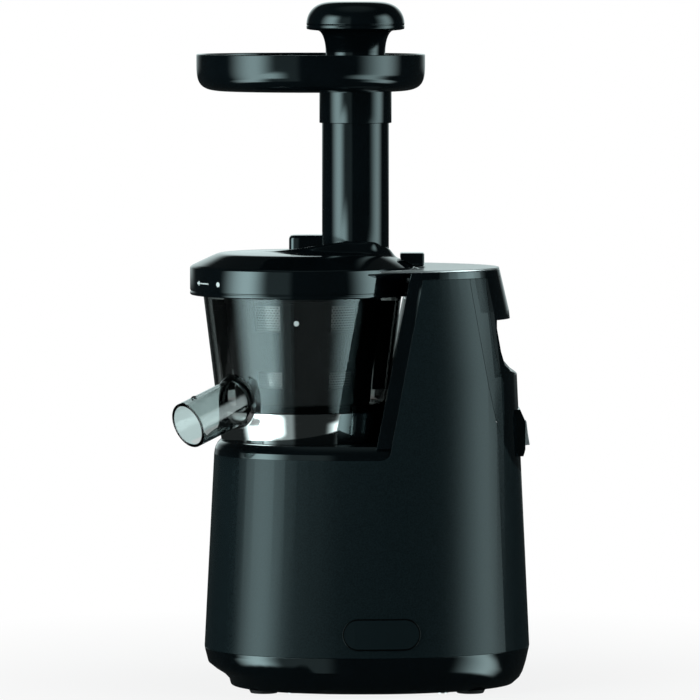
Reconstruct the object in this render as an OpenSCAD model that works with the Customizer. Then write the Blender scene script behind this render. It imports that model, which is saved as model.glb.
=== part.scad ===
// Vertical slow juicer: a screw press in a clear bowl, driven from below by a geared motor.
// Origin: on the table, at the middle of the housing. +X to the rear tower, +Z up. Millimetres.

/* [Housing] */
// Length of the housing at the top of its skirt, front to rear
body_l = 197; // [185:1:210]
// Width of the housing at the top of its skirt
body_w = 152; // [144:1:164]
// Width of the tower at its top
tower_w = 116; // [108:1:124]
// Height of the tower above the deck
tower_h = 104.5; // [98:0.5:112]
// Height of the gloss skirt
skirt_h = 25; // [22:0.5:30]
// Wall of the moulded housing parts
wall = 2.5; // [2:0.1:3]
// Height of the front deck that the bowl stands on, above the table
deck_h = 150; // [146:0.5:154]
// Height of the deck moulding's side above its joint with the housing
deck_seam_h = 8; // [6:0.5:11]
// Thickness of the silver plate on the tower
plate_t = 1.2; // [1:0.1:2]
// Height of the rubber feet
foot_h = 2; // [1.5:0.1:3]

/* [Bowl] */
// Distance of the bowl's axis ahead of the housing's middle
bowl_ahead = 39; // [36:0.5:41]
// Outer radius of the bowl at the deck
bowl_r = 49.2; // [47:0.2:50]
// Taper of the bowl's wall from the vertical, in degrees
bowl_taper = 7; // [6:0.1:7.4]
// Wall of the clear bowl
bowl_t = 2.2; // [1.8:0.1:2.6]
// Height of the polished foot band
band_h = 18.6; // [15:0.2:20]
// Height of the bowl's rim above the deck
bowl_top = 98; // [95:0.5:100]
// Outer radius of the juice spout
spout_r = 14; // [12:0.5:15]
// Level reach of the juice spout's mouth from the bowl's axis
spout_reach = 89; // [84:1:95]
// Turn of the juice spout from straight ahead, in degrees
spout_turn = 40; // [30:1:45]
// Downward tilt of the spouts, in degrees
spout_tilt = 19; // [16:1:21]

/* [Lid and chute] */
// Outer radius of the lid's band
lid_r = 68; // [66:0.5:69]
// How far the lid's lower edge hangs below the bowl's rim
lid_low = 10; // [8:0.5:12]
// Height of the lid's band
lid_band_h = 17; // [15:0.5:18]
// Height of the lid's bevel above its band
lid_bevel_h = 8; // [6:0.5:9]
// Outer radius of the feed chute
chute_r = 20.2; // [18:0.2:21]
// Wall of the feed chute
chute_t = 2; // [1.6:0.1:2.4]
// Distance of the chute's axis behind the bowl's axis
chute_back = 32; // [28:0.5:33]
// Length of the feed chute above the lid
chute_top = 97; // [87:1:103]

/* [Tray and pusher] */
// Radius of the hopper tray at its rim
tray_r = 69; // [62:1:72]
// Depth of the hopper tray
tray_h = 22.5; // [18:0.5:28]
// Distance of the tray's axis behind the bowl's axis
tray_back = 5; // [3:0.5:8]
// Length of the pusher below its knob
pusher_l = 115; // [100:1:122]
// Radius of the pusher's knob
knob_r = 29.6; // [26:0.2:32]
// Height of the pusher's knob
knob_h = 16.5; // [14:0.5:20]

/* [Drive] */
// Teeth of each driving pinion
pinion_z = 12; // [12:1:14]
// Teeth of each driven gear
gear_z = 48; // [44:1:48]
// Module of the first gear pair
module_a = 1; // [0.9:0.05:1.05]
// Module of the second gear pair
module_b = 1.5; // [1.4:0.05:1.5]
// Teeth of the auger's gear, which turns the brush through the idler
sun_z = 16; // [16:1:18]
// Teeth of the idler between auger and brush
idler_z = 12; // [12:1:13]
// Module of the brush gears
module_c = 1.25; // [1.2:0.05:1.3]
// Radius of the motor's can
motor_r = 31; // [28:0.5:33]
// Width across the flats of the hexagonal drive shaft
hex_af = 12; // [10:0.5:14]
// Radius of the auger over its screw
auger_r = 32; // [29:0.5:33]

/* [Hidden] */
$fn = 96;
run_gap = 0.05;      // radial clearance of a shaft in its bearing
part_gap = 0.4;      // clearance between parts that come apart
cut = 1;             // overshoot of a cutting tool
bowl_x = -bowl_ahead;

// ---- Heights above the table ----
tower_z = deck_h + tower_h;
seam_z = deck_h - deck_seam_h;
rim_z = deck_h + bowl_top;
lid_z = rim_z - lid_low;
band_top = lid_z + lid_band_h;
lid_top = band_top + lid_bevel_h;
chute_z = lid_top + chute_top;
floor_z = deck_h + 21;   // floor of the bowl
mesh_low = floor_z + 9;  // foot and top of the strainer's sheet
mesh_high = rim_z - 10;
auger_top = mesh_high + 2;
hex_top = deck_h + 50;   // top of the hexagonal drive
switch_z = deck_h + 4;
case_z = deck_h - 58;    // foot and top of the gear case
case_top = case_z + 32;
stage_a = [case_z + 7, case_z + 13];  // heights of the first gear pair
stage_b = [case_z + 18, case_z + 28]; // heights of the second gear pair
can_z = skirt_h + 1;     // foot and top of the motor's can
can_top = case_z - 3;

// axes of the layshaft and the motor behind the bowl's axis, and the heights of the gears
pair_a = module_a * (pinion_z + gear_z) / 2;
pair_b = module_b * (pinion_z + gear_z) / 2;
lay_x = bowl_x + pair_b;
motor_x = lay_x + pair_a;

// ---- Housing form: egg-shaped plan sections that follow the height ----
nose_n = 2.4;        // squareness of the front half of the plan, 2 is an ellipse
tail_n = 2;          // squareness of the rear half
plan_steps = 72;     // points round one plan section
toe_l = 16;          // how far the skirt's toe steps back under the front
tower_lean = 0.0507; // how far the front leans back for each mm of height
lip_z = tower_z - 26;        // underside of the finger lip is a little below this
grip_z = lip_z - 39;         // foot of the finger recess
front_at_skirt = -body_l / 2;
rear_at_skirt = body_l / 2;
// Half lengths to front and rear and half width at height z; below the skirt's top the toe steps in
function front_x(z) = z >= skirt_h ? front_at_skirt + tower_lean * (z - skirt_h)
  : front_at_skirt + toe_l * lookup(z / skirt_h,
      [[0, 1], [0.17, 0.98], [0.32, 0.86], [0.46, 0.5], [0.6, 0.15], [0.9, 0.03], [1, 0]]);
function rear_x(z) = z >= skirt_h
  ? rear_at_skirt - lookup(z, [[skirt_h, 0], [grip_z, 7.8], [lip_z, 12.7], [tower_z, 18.7]])
  : rear_at_skirt - lookup(z / skirt_h, [[0, 13], [0.17, 7], [0.32, 4.5], [0.6, 2.2], [1, 0]]);
function half_y(z) = z >= skirt_h
  ? body_w / 2 - (body_w - tower_w) / 2 * (z - skirt_h) / (tower_z - skirt_h)
  : body_w / 2 - lookup(z / skirt_h, [[0, 17], [0.17, 9], [0.32, 5.5], [0.6, 2], [1, 0]]);
function bend(v, n) = sign(v) * pow(abs(v), 2 / n);
function plan_point(z, a, inset) = let (n = cos(a) < 0 ? nose_n : tail_n,
    half_x = cos(a) < 0 ? -front_x(z) - inset : rear_x(z) - inset)
  [half_x * bend(cos(a), n), (half_y(z) - inset) * bend(sin(a), n), z];
// Closed solid through the plan sections at the listed heights, drawn in by one inset or one each
module plan_loft(heights, inset = 0) {
  count = len(heights);
  points = [for (k = [0 : count - 1], i = [0 : plan_steps - 1])
    plan_point(heights[k], 360 * (i + 0.5) / plan_steps, is_list(inset) ? inset[k] : inset)];
  sides = [for (k = [0 : count - 2], i = [0 : plan_steps - 1]) let (j = (i + 1) % plan_steps)
    [k * plan_steps + i, (k + 1) * plan_steps + i, (k + 1) * plan_steps + j, k * plan_steps + j]];
  floor_face = [for (i = [0 : plan_steps - 1]) i];
  roof_face = [for (i = [plan_steps - 1 : -1 : 0]) (count - 1) * plan_steps + i];
  polyhedron(points, concat([floor_face], sides, [roof_face]), convexity = 4);
}
upper_levels = [skirt_h, deck_h, grip_z, lip_z, tower_z];
// Side outline, drawn in X and Z, carried across the whole width
module across(width = body_w + 2 * cut) {
  rotate([90, 0, 0]) translate([0, 0, -width / 2]) linear_extrude(width) children();
}
// Round bar of a profile drawn in radius and height, about the bowl's axis
module on_bowl_axis() { translate([bowl_x, 0, 0]) rotate_extrude() children(); }
module bar(x, z0, z1, r) { translate([x, 0, z0]) cylinder(r = r, h = z1 - z0); }

// The tower's front edge leans back; the cradle's strip lies ahead of the housing's edge
strip_w = 8;
edge_low_x = bowl_x + 53;
edge_slope = 0.1887;
collar_h = 4.4;
collar_z = tower_z - plate_t - collar_h;
function edge_x(z) = edge_low_x + edge_slope * (z - corner_z);
function cradle_x(z) = edge_x(z) - strip_w;
// Points given by how far they lie ahead of the rear at the skirt, and their heights
function from_rear(points) = [for (p = points) [rear_at_skirt - p[0], p[1]]];
// Side seam of the rear cover, from the collar down to where it leaves the rear
seam = from_rear([[37, tower_z + cut], [37, collar_z - 2], [31.6, tower_z - 37.5], [26, deck_h + 36],
  [20.8, deck_h + 12], [16.5, deck_h], [11.5, seam_z - 3], [-2.5, seam_z - 22]]);
// Edge of the gloss rear panel
panel_edge = from_rear([[27.2, tower_z + cut], [26, tower_z - 18.5], [23.5, tower_z - 34.5],
  [22, tower_z - 47.5], [19.5, deck_h + 46], [16.5, deck_h + 36], [15.9, deck_h + 22], [16.5, deck_h]]);
seam_gap = 0.15;      // open seam between neighbouring housing parts

// Rounded corner where the housing's upright edge meets the deck's seam
corner_l = 7;
corner_h = 5;
corner_z = seam_z + corner_h;
front_corner = [for (a = [0 : 15 : 90])
  [edge_x(corner_z) - corner_l * (1 - cos(a)), corner_z - corner_h * sin(a)]];
module housing_region() {
  polygon(concat([[-body_l, skirt_h], [body_l, skirt_h], [body_l, seam[7][1]]],
      [for (i = [len(seam) - 1 : -1 : 1]) seam[i]],
      [[seam[0][0], collar_z], [edge_x(collar_z), collar_z]], front_corner, [[-body_l, seam_z]]));
}
module housing_shell() {
  color("#2a2f31") difference() {
    intersection() {
      plan_loft(upper_levels);
      across() housing_region();
    }
    plan_loft([skirt_h - cut, deck_h, grip_z, lip_z, tower_z], wall);
  }
}
// Finger recess under the lip, with a clearance all round
module grip_outline(grow = 0) {
  polygon(from_rear([[20.5 + grow, lip_z - 5 + grow], [20.5 + grow, lip_z - 10], [18 + grow, lip_z - 24],
    [15.6 + grow, lip_z - 32], [12 + grow, lip_z - 36 - grow], [7.7, lip_z - 38.5 - grow],
    [-21.5, lip_z - 38.5 - grow], [-21.5, lip_z - 5 + grow]]));
}
module rear_cover() {
  color("#2a2f31") difference() {
    intersection() {
      plan_loft(upper_levels);
      across() polygon(concat([[seam[0][0] + seam_gap, collar_z]],
        [for (p = seam) if (p[1] < collar_z && p[1] > deck_h) p + [seam_gap, 0]], [seam[5]],
        [for (i = [len(panel_edge) - 2 : -1 : 1]) panel_edge[i] - [seam_gap, 0]],
        [[panel_edge[0][0] - seam_gap, collar_z]]));
    }
    plan_loft(upper_levels, wall);
  }
}
module rear_region() {
  polygon(concat([[panel_edge[0][0], collar_z]], [for (p = panel_edge) if (p[1] < collar_z) p],
    [seam[6], seam[7], [body_l, seam[7][1]], [body_l, collar_z]]));
}
bezel_w = 26;
bezel_l = 14.5;       // from the bezel's inner end to the rear at the skirt
module bezel_outline(grow = 0) {
  polygon(from_rear([[28.5, switch_z - 14 - grow], [4.1, switch_z - 13.5 - grow], [2.9, switch_z - 9.5],
    [2.9, switch_z + 7.5], [6.2, switch_z + 14.8 + grow], [28.5, switch_z + 15 + grow]]));
}
module rear_panel() {
  color("#0b0e0f") difference() {
    intersection() {
      plan_loft(upper_levels);
      across() rear_region();
    }
    across() grip_outline();
    difference() {
      plan_loft(upper_levels, wall);
      across() grip_outline(wall);
    }
    across(bezel_w + 2 * seam_gap) bezel_outline(seam_gap);
  }
}
// The rocker swings on a pin in a pocket of the bezel
rocker_x = rear_at_skirt - 8.5;
rocker_w = 15;
rocker_pin_r = 1.5;
module rocker_pocket() {
  pocket_w = rocker_w + 1;
  pocket_h = 17.2;
  translate([rocker_x - 10, -pocket_w / 2, switch_z - pocket_h / 2]) cube([30, pocket_w, pocket_h]);
}
module rocker_pin(r, l) {
  translate([rocker_x, 0, switch_z]) rotate([90, 0, 0]) cylinder(r = r, h = l, center = true);
}
module switch_bezel() {
  color("#0b0e0f") difference() {
    intersection() {
      across(bezel_w) bezel_outline();
      translate([rear_at_skirt - bezel_l, -bezel_w, 0]) cube([bezel_l + 6, 2 * bezel_w, tower_z]);
    }
    rocker_pocket();
    rocker_pin(rocker_pin_r + run_gap, bezel_w - 4);
  }
}
module switch_rocker() {
  color("#c4c7c8") {
    translate([rocker_x, 0, switch_z]) across(rocker_w)
      polygon([[-3, -5], [5.6, -7.2], [8.4, -7], [7.2, 0], [6.4, 7], [5.6, 7.2], [-3, 5]]);
    rocker_pin(rocker_pin_r, bezel_w - 5);
  }
}

// ---- Deck and cradle that carry the bowl ----
function bowl_out(z) = bowl_r + (z - deck_h) * tan(bowl_taper);
pocket_gap = 1.6;
lid_room = 2;
plate_room = 6;
screw_bar = 2;
module bowl_pocket() {
  on_bowl_axis() polygon([[0, deck_h], [bowl_out(deck_h) + pocket_gap, deck_h],
    [bowl_out(lid_z) + pocket_gap, lid_z - 4], [lid_r + lid_room, lid_z - 3],
    [lid_r + lid_room, tower_z + cut], [0, tower_z + cut]]);
}
shaft_hole_r = 16;
module bowl_cradle() {
  color("#0b0e0f") difference() {
    union() {
      plan_loft([seam_z, seam_z + 3.2, deck_h - 2, deck_h], [0, 0.4, 1.6, 3.4]);
      intersection() {
        plan_loft([seam_z, deck_h, grip_z, lip_z, tower_z]);
        across() polygon([[cradle_x(deck_h) - 1, deck_h - 1], [edge_x(deck_h), deck_h - 1],
          [edge_x(collar_z), collar_z], [cradle_x(collar_z), collar_z]]);
      }
      intersection() {
        plan_loft([seam_z, deck_h, grip_z, lip_z, tower_z], wall + 0.3);
        across() polygon([[edge_x(deck_h) - 1, seam_z], [edge_x(deck_h) + 3.5, seam_z],
          [edge_x(collar_z) + 3.5, collar_z], [edge_x(collar_z) - 1, collar_z]]);
      }
    }
    bowl_pocket();
    // behind the strip the deck gives way to the housing
    across() polygon([[edge_x(deck_h) + 3.6, 0], [body_l, 0], [body_l, tower_z + cut],
      [edge_x(tower_z) + 3.6, tower_z + cut], [edge_x(deck_h) + 3.6, deck_h - 1]]);
    difference() {
      across() polygon(concat([[edge_x(corner_z) - 7, seam_z - cut], [body_l, seam_z - cut],
        [body_l, collar_z], [edge_x(collar_z), collar_z]], front_corner));
      plan_loft([skirt_h, deck_h, grip_z, lip_z, tower_z], wall + 0.3);
    }
    bar(bowl_x, seam_z - cut, deck_h + cut, shaft_hole_r);
    plan_loft([seam_z - cut, deck_h - 3], wall + 2);
  }
}
module shaft_seal() {
  seal_r = 8 + part_gap;
  color("#1c1c1c") translate([bowl_x, 0, 0]) rotate_extrude() polygon([[seal_r, seam_z + 3],
    [shaft_hole_r, seam_z + 3], [shaft_hole_r, deck_h], [shaft_hole_r - 3, deck_h + 1.5],
    [seal_r, deck_h + 1.5]]);
}
module top_collar() {
  color("#0b0e0f") difference() {
    intersection() {
      plan_loft([collar_z - 20, tower_z]);
      across() polygon([[cradle_x(collar_z), collar_z], [body_l, collar_z], [body_l, tower_z - plate_t],
        [cradle_x(tower_z), tower_z - plate_t]]);
    }
    bowl_pocket();
  }
}
module top_plate() {
  color("#c9cdcf") difference() {
    intersection() {
      plan_loft([collar_z, tower_z]);
      translate([0, -body_w, tower_z - plate_t]) cube([body_l, 2 * body_w, plate_t]);
    }
    bar(bowl_x, 0, tower_z + cut, lid_r + plate_room);
  }
}

// ---- Skirt, floor and feet ----
plate_low = foot_h;
skirt_wall = wall + 4.5;
skirt_levels = [plate_low - cut, skirt_h * 0.3, skirt_h + cut];
module base_skirt() {
  levels = [for (f = [0, 0.17, 0.32, 0.46, 0.6, 0.9, 1]) plate_low + (skirt_h - plate_low) * f];
  color("#0b0e0f") difference() {
    plan_loft(levels);
    plan_loft(skirt_levels, skirt_wall);
  }
}
post_spots = [[bowl_x - 31, 0], [bowl_x + 15, 28], [bowl_x + 15, -28],
  [motor_x + 25, motor_r - 2], [motor_x + 25, 2 - motor_r]];
// Four feet near the corners; a fifth, under the middle, is not a screw place
foot_spots = [for (x = [-1, 1], y = [-1, 1]) [x * (body_l / 2 - 36.5), y * (body_w / 2 - 40)]];
foot_r = 9;
floor_t = 3;
module bottom_plate() {
  color("#141718") difference() {
    union() {
      intersection() {
        plan_loft(skirt_levels, skirt_wall + 0.3);
        translate([-body_l, -body_w, plate_low]) cube([2 * body_l, 2 * body_w, floor_t]);
      }
      for (p = post_spots) translate([p[0], p[1], plate_low]) cylinder(r = 5, h = case_z - plate_low);
    }
    for (k = [-4 : 4]) translate([motor_x - 20, 6 * k - 1.2, 0]) cube([40, 2.4, skirt_h]);
    bar(inlet_x, 0, skirt_h, inlet_r);
    for (p = post_spots) translate([p[0], p[1], case_z - 14]) cylinder(r = screw_bar, h = 15);
  }
}
inlet_x = rear_at_skirt - 26.5;
inlet_r = 6;
inlet_bore_r = 3.6;
module cord_inlet() {
  low = plate_low + 0.2;
  color("#1c1c1c") difference() {
    union() {
      bar(inlet_x, low, low + floor_t + 6, inlet_r);
      bar(inlet_x, low + floor_t, low + floor_t + 2, inlet_r + 2);
    }
    bar(inlet_x, low - cut, low + floor_t + 6 + cut, inlet_bore_r);
  }
}
module rubber_feet() {
  color("#1c1c1c") for (p = concat(foot_spots, [[0, 0]]))
    translate([p[0], p[1], 0]) cylinder(r1 = foot_r - 1, r2 = foot_r, h = foot_h);
}
module base_screws() {
  color("#9aa0a2") for (p = foot_spots)
    translate([p[0] - 17 * sign(p[0]), p[1] + 9 * sign(p[1]), plate_low - 1]) cylinder(r = 3.5, h = 1);
}
badge = [46.5, 18.8, 0.8]; // length, height and thickness of the blank plate
badge_at = [8.5, 39];      // its middle along the side and above the table
module pill(l, h) {
  for (x = [-1, 1]) translate([x * (l - h) / 2, 0]) circle(d = h);
  square([l - h, h], center = true);
}
module badge_plate() {
  color("#101415") intersection() {
    difference() {
      plan_loft([skirt_h, deck_h], -badge[2]);
      plan_loft([skirt_h, deck_h]);
    }
    translate([badge_at[0], 0, badge_at[1]]) rotate([90, 0, 0]) linear_extrude(body_w) pill(badge[0], badge[1]);
  }
}

// ---- Motor and gears ----
// Involute tooth outline: add and ded are the tooth's height and depth in modules, slack its play in degrees
pressure = 20;
function roll(r, rb) = r <= rb ? 0 : sqrt(pow(r / rb, 2) - 1) * 180 / PI - atan(sqrt(pow(r / rb, 2) - 1));
module gear_outline(m, z, add = 0.75, ded = 1.15, play = 0.09) {
  pitch_r = m * z / 2;
  base_r = pitch_r * cos(pressure);
  low = pitch_r - ded * m;
  high = pitch_r + add * m;
  half_at = function (r) 90 / z - play * 360 / (2 * PI * z) * 2 + roll(pitch_r, base_r) - roll(r, base_r);
  radii = [for (k = [0 : 4]) let (start = max(low, base_r)) start + (high - start) * k / 4];
  polygon([for (i = [0 : z - 1]) let (mid = 360 * i / z) each concat(
    [for (r = concat([low], radii)) r * [cos(mid - half_at(r)), sin(mid - half_at(r))]],
    [for (k = [4 : -1 : 0]) radii[k] * [cos(mid + half_at(radii[k])), sin(mid + half_at(radii[k]))]],
    [low * [cos(mid + half_at(low)), sin(mid + half_at(low))]])]);
}
module gear_wheel(m, z, z0, z1, turn = 0, bore = 0) {
  translate([0, 0, z0]) difference() {
    rotate(turn) linear_extrude(z1 - z0) gear_outline(m, z);
    if (bore > 0) translate([0, 0, -cut]) cylinder(r = bore, h = z1 - z0 + 2 * cut);
  }
}
// Plan of the gear case, wide enough for each wheel and for the screw ears
module case_plan(grow = 0) {
  wheel_a = module_a * gear_z / 2 + 4 + grow;
  wheel_b = module_b * gear_z / 2 + 4 + grow;
  translate([bowl_x, 0]) circle(r = wheel_b);
  translate([lay_x, 0]) circle(r = wheel_a);
  translate([motor_x, 0]) circle(r = 13 + grow);
  translate([lay_x, -13 - grow]) square([motor_x - lay_x, 26 + 2 * grow]);
}
module ears() { for (p = post_spots) translate(p) circle(r = 6); }
module ear_arms() {
  for (p = post_spots) translate(p) rotate(atan2(-p[1], (p[0] > 0 ? motor_x : bowl_x) - p[0]))
    translate([0, -4]) square([p[0] > 0 ? norm(p - [motor_x, 0]) - 12 : 8, 8]);
}
module post_screw_holes(z) { for (p = post_spots) bar_at(p, z, case_top + 20, screw_bar + 0.2); }
module bar_at(p, z0, z1, r) { translate([p[0], p[1], z0]) cylinder(r = r, h = z1 - z0); }
journal_r = 8;
foot_journal_r = 5;
pin_r = 4;
case_floor = 3;
module gearbox_case() {
  color("#8c9296") difference() {
    union() {
      translate([0, 0, case_z]) linear_extrude(case_floor) union() { case_plan(2.5); ears(); ear_arms(); }
      translate([0, 0, case_z]) linear_extrude(case_top - case_z) difference() { case_plan(2.5); case_plan(); }
      bar(bowl_x, case_z, case_z + 7, 12);
    }
    bar(bowl_x, case_z + 1, case_top, 9);
    bar(lay_x, case_z - cut, case_top, pin_r);
    bar(motor_x, case_z - cut, case_top, 9);
    post_screw_holes(case_z - cut);
  }
}
module gearbox_lid() {
  color("#8c9296") difference() {
    translate([0, 0, case_top]) linear_extrude(3) case_plan(2.5);
    bar(bowl_x, case_top - cut, case_top + 5, 13);
    bar(lay_x, case_top - cut, case_top + 5, pin_r);
    for (p = lid_screw_spots) bar_at(p, case_top - cut, case_top + 5, 1.7);
  }
}
lid_screw_spots = [for (a = [100, 180, 260]) [bowl_x, 0] + (module_b * gear_z / 2 + 5.2) * [cos(a), sin(a)]];
module gearbox_screws() {
  color("#9aa0a2") {
    for (p = post_spots) {
      bar_at(p, case_z - 10, case_z + case_floor, screw_bar - 0.05);
      bar_at(p, case_z + case_floor, case_z + case_floor + 2.5, 3.6);
    }
    for (p = lid_screw_spots) bar_at(p, case_top + 3, case_top + 4.6, 2.6);
  }
}
module lower_bearing() {
  color("#b08d4f") difference() {
    bar(bowl_x, case_z + 1, case_z + 7, 9);
    bar(bowl_x, 0, case_top, foot_journal_r + run_gap);
  }
}
module upper_bearing() {
  color("#b08d4f") difference() {
    union() { bar(bowl_x, case_top - 2, case_top + 6, 13); bar(bowl_x, case_top + 3, case_top + 6, 15); }
    bar(bowl_x, 0, deck_h, journal_r + run_gap);
  }
}
module layshaft_pin() { color("#9aa0a2") bar(lay_x, case_z, case_top + 3, pin_r); }
module reduction_gear() {
  color("#d8d4c6") translate([lay_x, 0, 0]) difference() {
    union() {
      gear_wheel(module_a, gear_z, stage_a[0], stage_a[1], 180 / gear_z);
      translate([0, 0, stage_a[1]]) cylinder(r = 7, h = stage_b[0] - stage_a[1]);
      gear_wheel(module_b, pinion_z, stage_b[0], stage_b[1], 180);
    }
    translate([0, 0, case_z]) cylinder(r = pin_r + run_gap, h = 60);
  }
}
module output_gear() {
  color("#d8d4c6") translate([bowl_x, 0, 0])
    gear_wheel(module_b, gear_z, stage_b[0], stage_b[1], 180 / gear_z, journal_r);
}
hex_r = hex_af / 2 / cos(30);
module drive_shaft() {
  color("#b9bec0") union() {
    bar(bowl_x, case_z + 1.5, stage_b[0], foot_journal_r);
    bar(bowl_x, stage_b[0], deck_h + 2, journal_r);
    translate([bowl_x, 0, deck_h + 2]) cylinder(r = hex_r, h = hex_top - deck_h - 2, $fn = 6);
  }
}
can_t = 1.5;
rotor_r = 19;
shaft_r = 4;
module motor_can() {
  color("#6f7678") difference() {
    bar(motor_x, can_z, can_top, motor_r);
    bar(motor_x, can_z + 3, can_top + cut, motor_r - can_t);
    bar(motor_x, can_z - cut, can_z + 4, shaft_r + run_gap);
    for (a = [0 : 60 : 300]) translate([motor_x, 0, can_z - cut]) rotate(a)
      translate([12, -3, 0]) cube([12, 6, 5]);
  }
}
module motor_end_cap() {
  color("#8c9296") difference() {
    bar(motor_x, can_top, case_z, motor_r);
    bar(motor_x, 0, case_top, shaft_r + run_gap);
  }
}
module stator_ring() {
  color("#a4573a") difference() {
    bar(motor_x, can_z + 18, can_top - 13, motor_r - can_t);
    bar(motor_x, 0, case_top, rotor_r + 1);
  }
}
module rotor_core() {
  color("#7d8486") difference() {
    bar(motor_x, can_z + 19, can_top - 14, rotor_r);
    bar(motor_x, 0, case_top, shaft_r);
  }
}
module motor_shaft() {
  color("#b9bec0") union() {
    bar(motor_x, can_z - 1, stage_a[1], shaft_r);
    translate([motor_x, 0, 0]) gear_wheel(module_a, pinion_z, stage_a[0], stage_a[1], 180);
  }
}
module cooling_fan() {
  color("#1c1c1c") difference() {
    union() {
      bar(motor_x, can_z + 5, can_z + 14, 8);
      for (a = [0 : 45 : 315])
        translate([motor_x, 0, can_z + 5]) rotate(a) translate([6, -0.8, 0]) cube([motor_r - 13, 1.6, 9]);
    }
    bar(motor_x, 0, case_top, shaft_r);
  }
}
board = [1.6, 60, 44];  // thickness, width and height
board_x = bowl_x + 83;
board_z = deck_h + 8;
module circuit_board() {
  color("#2f6b3f") union() {
    translate([board_x, -board[1] / 2, board_z]) cube(board);
    // relay, filter and driver: side place, height on the board, depth
    for (p = [[-18, 10, 12], [6, 14, 14], [-6, 28, 10]])
      translate([board_x + board[0], p[0], board_z + p[1]]) cube([p[2], 10, 8]);
    // posts that carry the board on the back of the cradle
    for (y = [-24, 24], z = [board_z + 5, board_z + board[2] - 5]) let (back = edge_x(z) + 4.4)
      translate([back, y, z]) rotate([0, 90, 0]) cylinder(r = 3, h = board_x - back);
  }
}

// ---- Bowl ----
module spout_place(turn) {
  translate([bowl_x, 0, spout_root_z]) rotate([0, 0, 180 + turn]) rotate([0, 90 + spout_tilt, 0]) children();
}
spout_root_z = deck_h + 43;
spout_l = spout_reach / cos(spout_tilt);
pulp_turn = -78;
pulp_reach = 76;
spout_t = 1.8;
rim_step = 3;
module bowl() {
  band_z = deck_h + band_h;
  inner = function (z) bowl_out(z) - bowl_t;
  color("#4a5052", 0.5) difference() {
    union() {
      on_bowl_axis() polygon([[bowl_out(deck_h) - 0.9, deck_h], [bowl_out(band_z) - 0.9, band_z],
        [bowl_out(band_z), band_z], [bowl_out(rim_z - 6), rim_z - 6], [bowl_out(rim_z - 6), rim_z],
        [inner(rim_z - 4), rim_z], [inner(rim_z - 4), rim_z - 4], [inner(floor_z + 2), floor_z + 2],
        [inner(floor_z) - 2, floor_z], [neck_in, floor_z], [neck_in, deck_h + 6], [neck_in + 3, deck_h + 6],
        [neck_in + 3, floor_z - 3],
        [inner(floor_z) - 3, floor_z - 3], [bowl_out(deck_h) - 3, deck_h]]);
      bar(bowl_x + idler_d, floor_z, floor_z + 6, idler_pin_r);
    }
    spout_bore(spout_turn);
    spout_bore(pulp_turn);
  }
}
module spout_bore(turn) { spout_place(turn) translate([0, 0, 38]) cylinder(r = spout_r - spout_t, h = 30); }
module foot_band() {
  band_z = deck_h + band_h;
  color("#d9dcdd") on_bowl_axis() polygon([[bowl_out(deck_h) - 0.8, deck_h], [bowl_out(deck_h), deck_h],
    [bowl_out(band_z) - 0.02, band_z - 0.05], [bowl_out(band_z) - 0.8, band_z - 0.05]]);
}
// The bowl as a solid, drawn on down through the deck, which the spouts stop at
module bowl_room() {
  low_r = bowl_out(deck_h);
  on_bowl_axis() polygon([[0, 0], [low_r + 0.05, 0], [low_r + 0.05, deck_h], [low_r, deck_h],
    [bowl_out(rim_z), rim_z], [0, rim_z]]);
}
module spout_tube(turn, reach_l) {
  difference() {
    spout_place(turn) difference() {
      union() {
        cylinder(r = spout_r, h = reach_l);
        translate([0, 0, 40]) cylinder(r = spout_r + 1.6, h = 16);
      }
      translate([0, 0, -cut]) cylinder(r = spout_r - spout_t, h = reach_l + 2 * cut);
    }
    bowl_room();
  }
}
module juice_spout() {
  color("#c4c9ca", 0.5) union() {
    spout_tube(spout_turn, spout_l);
    spout_place(spout_turn) translate([-spout_r - 0.6, 0, spout_l - 10]) rotate([0, 90, 0])
      cylinder(r = 2, h = 1.8);
  }
}
module pulp_spout() { color("#4a5052", 0.5) spout_tube(pulp_turn, pulp_reach / cos(spout_tilt)); }
seal_in = 8.3;    // bore of the auger, round its sleeve
neck_in = 12;     // bore of the neck that stands in the bowl's floor
module bowl_seal() {
  color("#a33a2c") difference() {
    bar(bowl_x, floor_z - 9, floor_z - 1, neck_in);
    bar(bowl_x, deck_h, floor_z + 2, seal_in + run_gap);
  }
}
// ---- Strainer and brush ----
idler_d = module_c * (sun_z + idler_z) / 2;
idler_pin_r = 3;
ring_z = sun_z + 2 * idler_z;
function mesh_r(z) = auger_r + 3.5 + 0.09 * (z - mesh_low);
function brush_r(z) = mesh_r(z) + 5.4;
module shell_cone(r0, r1, z0, z1, t) {
  on_bowl_axis() polygon([[r0, z0], [r0 + t, z0], [r1 + t, z1], [r1, z1]]);
}
module strainer_frame() {
  rim_r = bowl_out(rim_z - 4) - bowl_t - 0.2;
  low_r = mesh_r(mesh_low);
  high_r = mesh_r(mesh_high);
  color("#23282a") union() {
    on_bowl_axis() polygon([[17, mesh_low - 1], [low_r + 1, mesh_low - 1], [low_r + 2.2, mesh_low + 3],
      [low_r + 1, mesh_low + 3], [low_r + 0.8, mesh_low + 1], [17, mesh_low + 1]]);
    on_bowl_axis() polygon([[high_r + 0.6, mesh_high - 3], [high_r + 2, mesh_high - 3],
      [high_r + 2, mesh_high + 3], [rim_r, rim_z - 4], [rim_r, rim_z - 2.5], [high_r - 1, mesh_high + 5],
      [high_r - 1, mesh_high], [high_r + 0.6, mesh_high]]);
    for (a = [30 : 60 : 330]) translate([bowl_x, 0, 0]) rotate(a) rotate([90, 0, 0]) translate([0, 0, -1.5])
      linear_extrude(3) polygon([[low_r + 0.9, mesh_low + 2], [low_r + 2, mesh_low + 2],
        [high_r + 2, mesh_high - 2], [high_r + 0.6, mesh_high - 2]]);
  }
}
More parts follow.
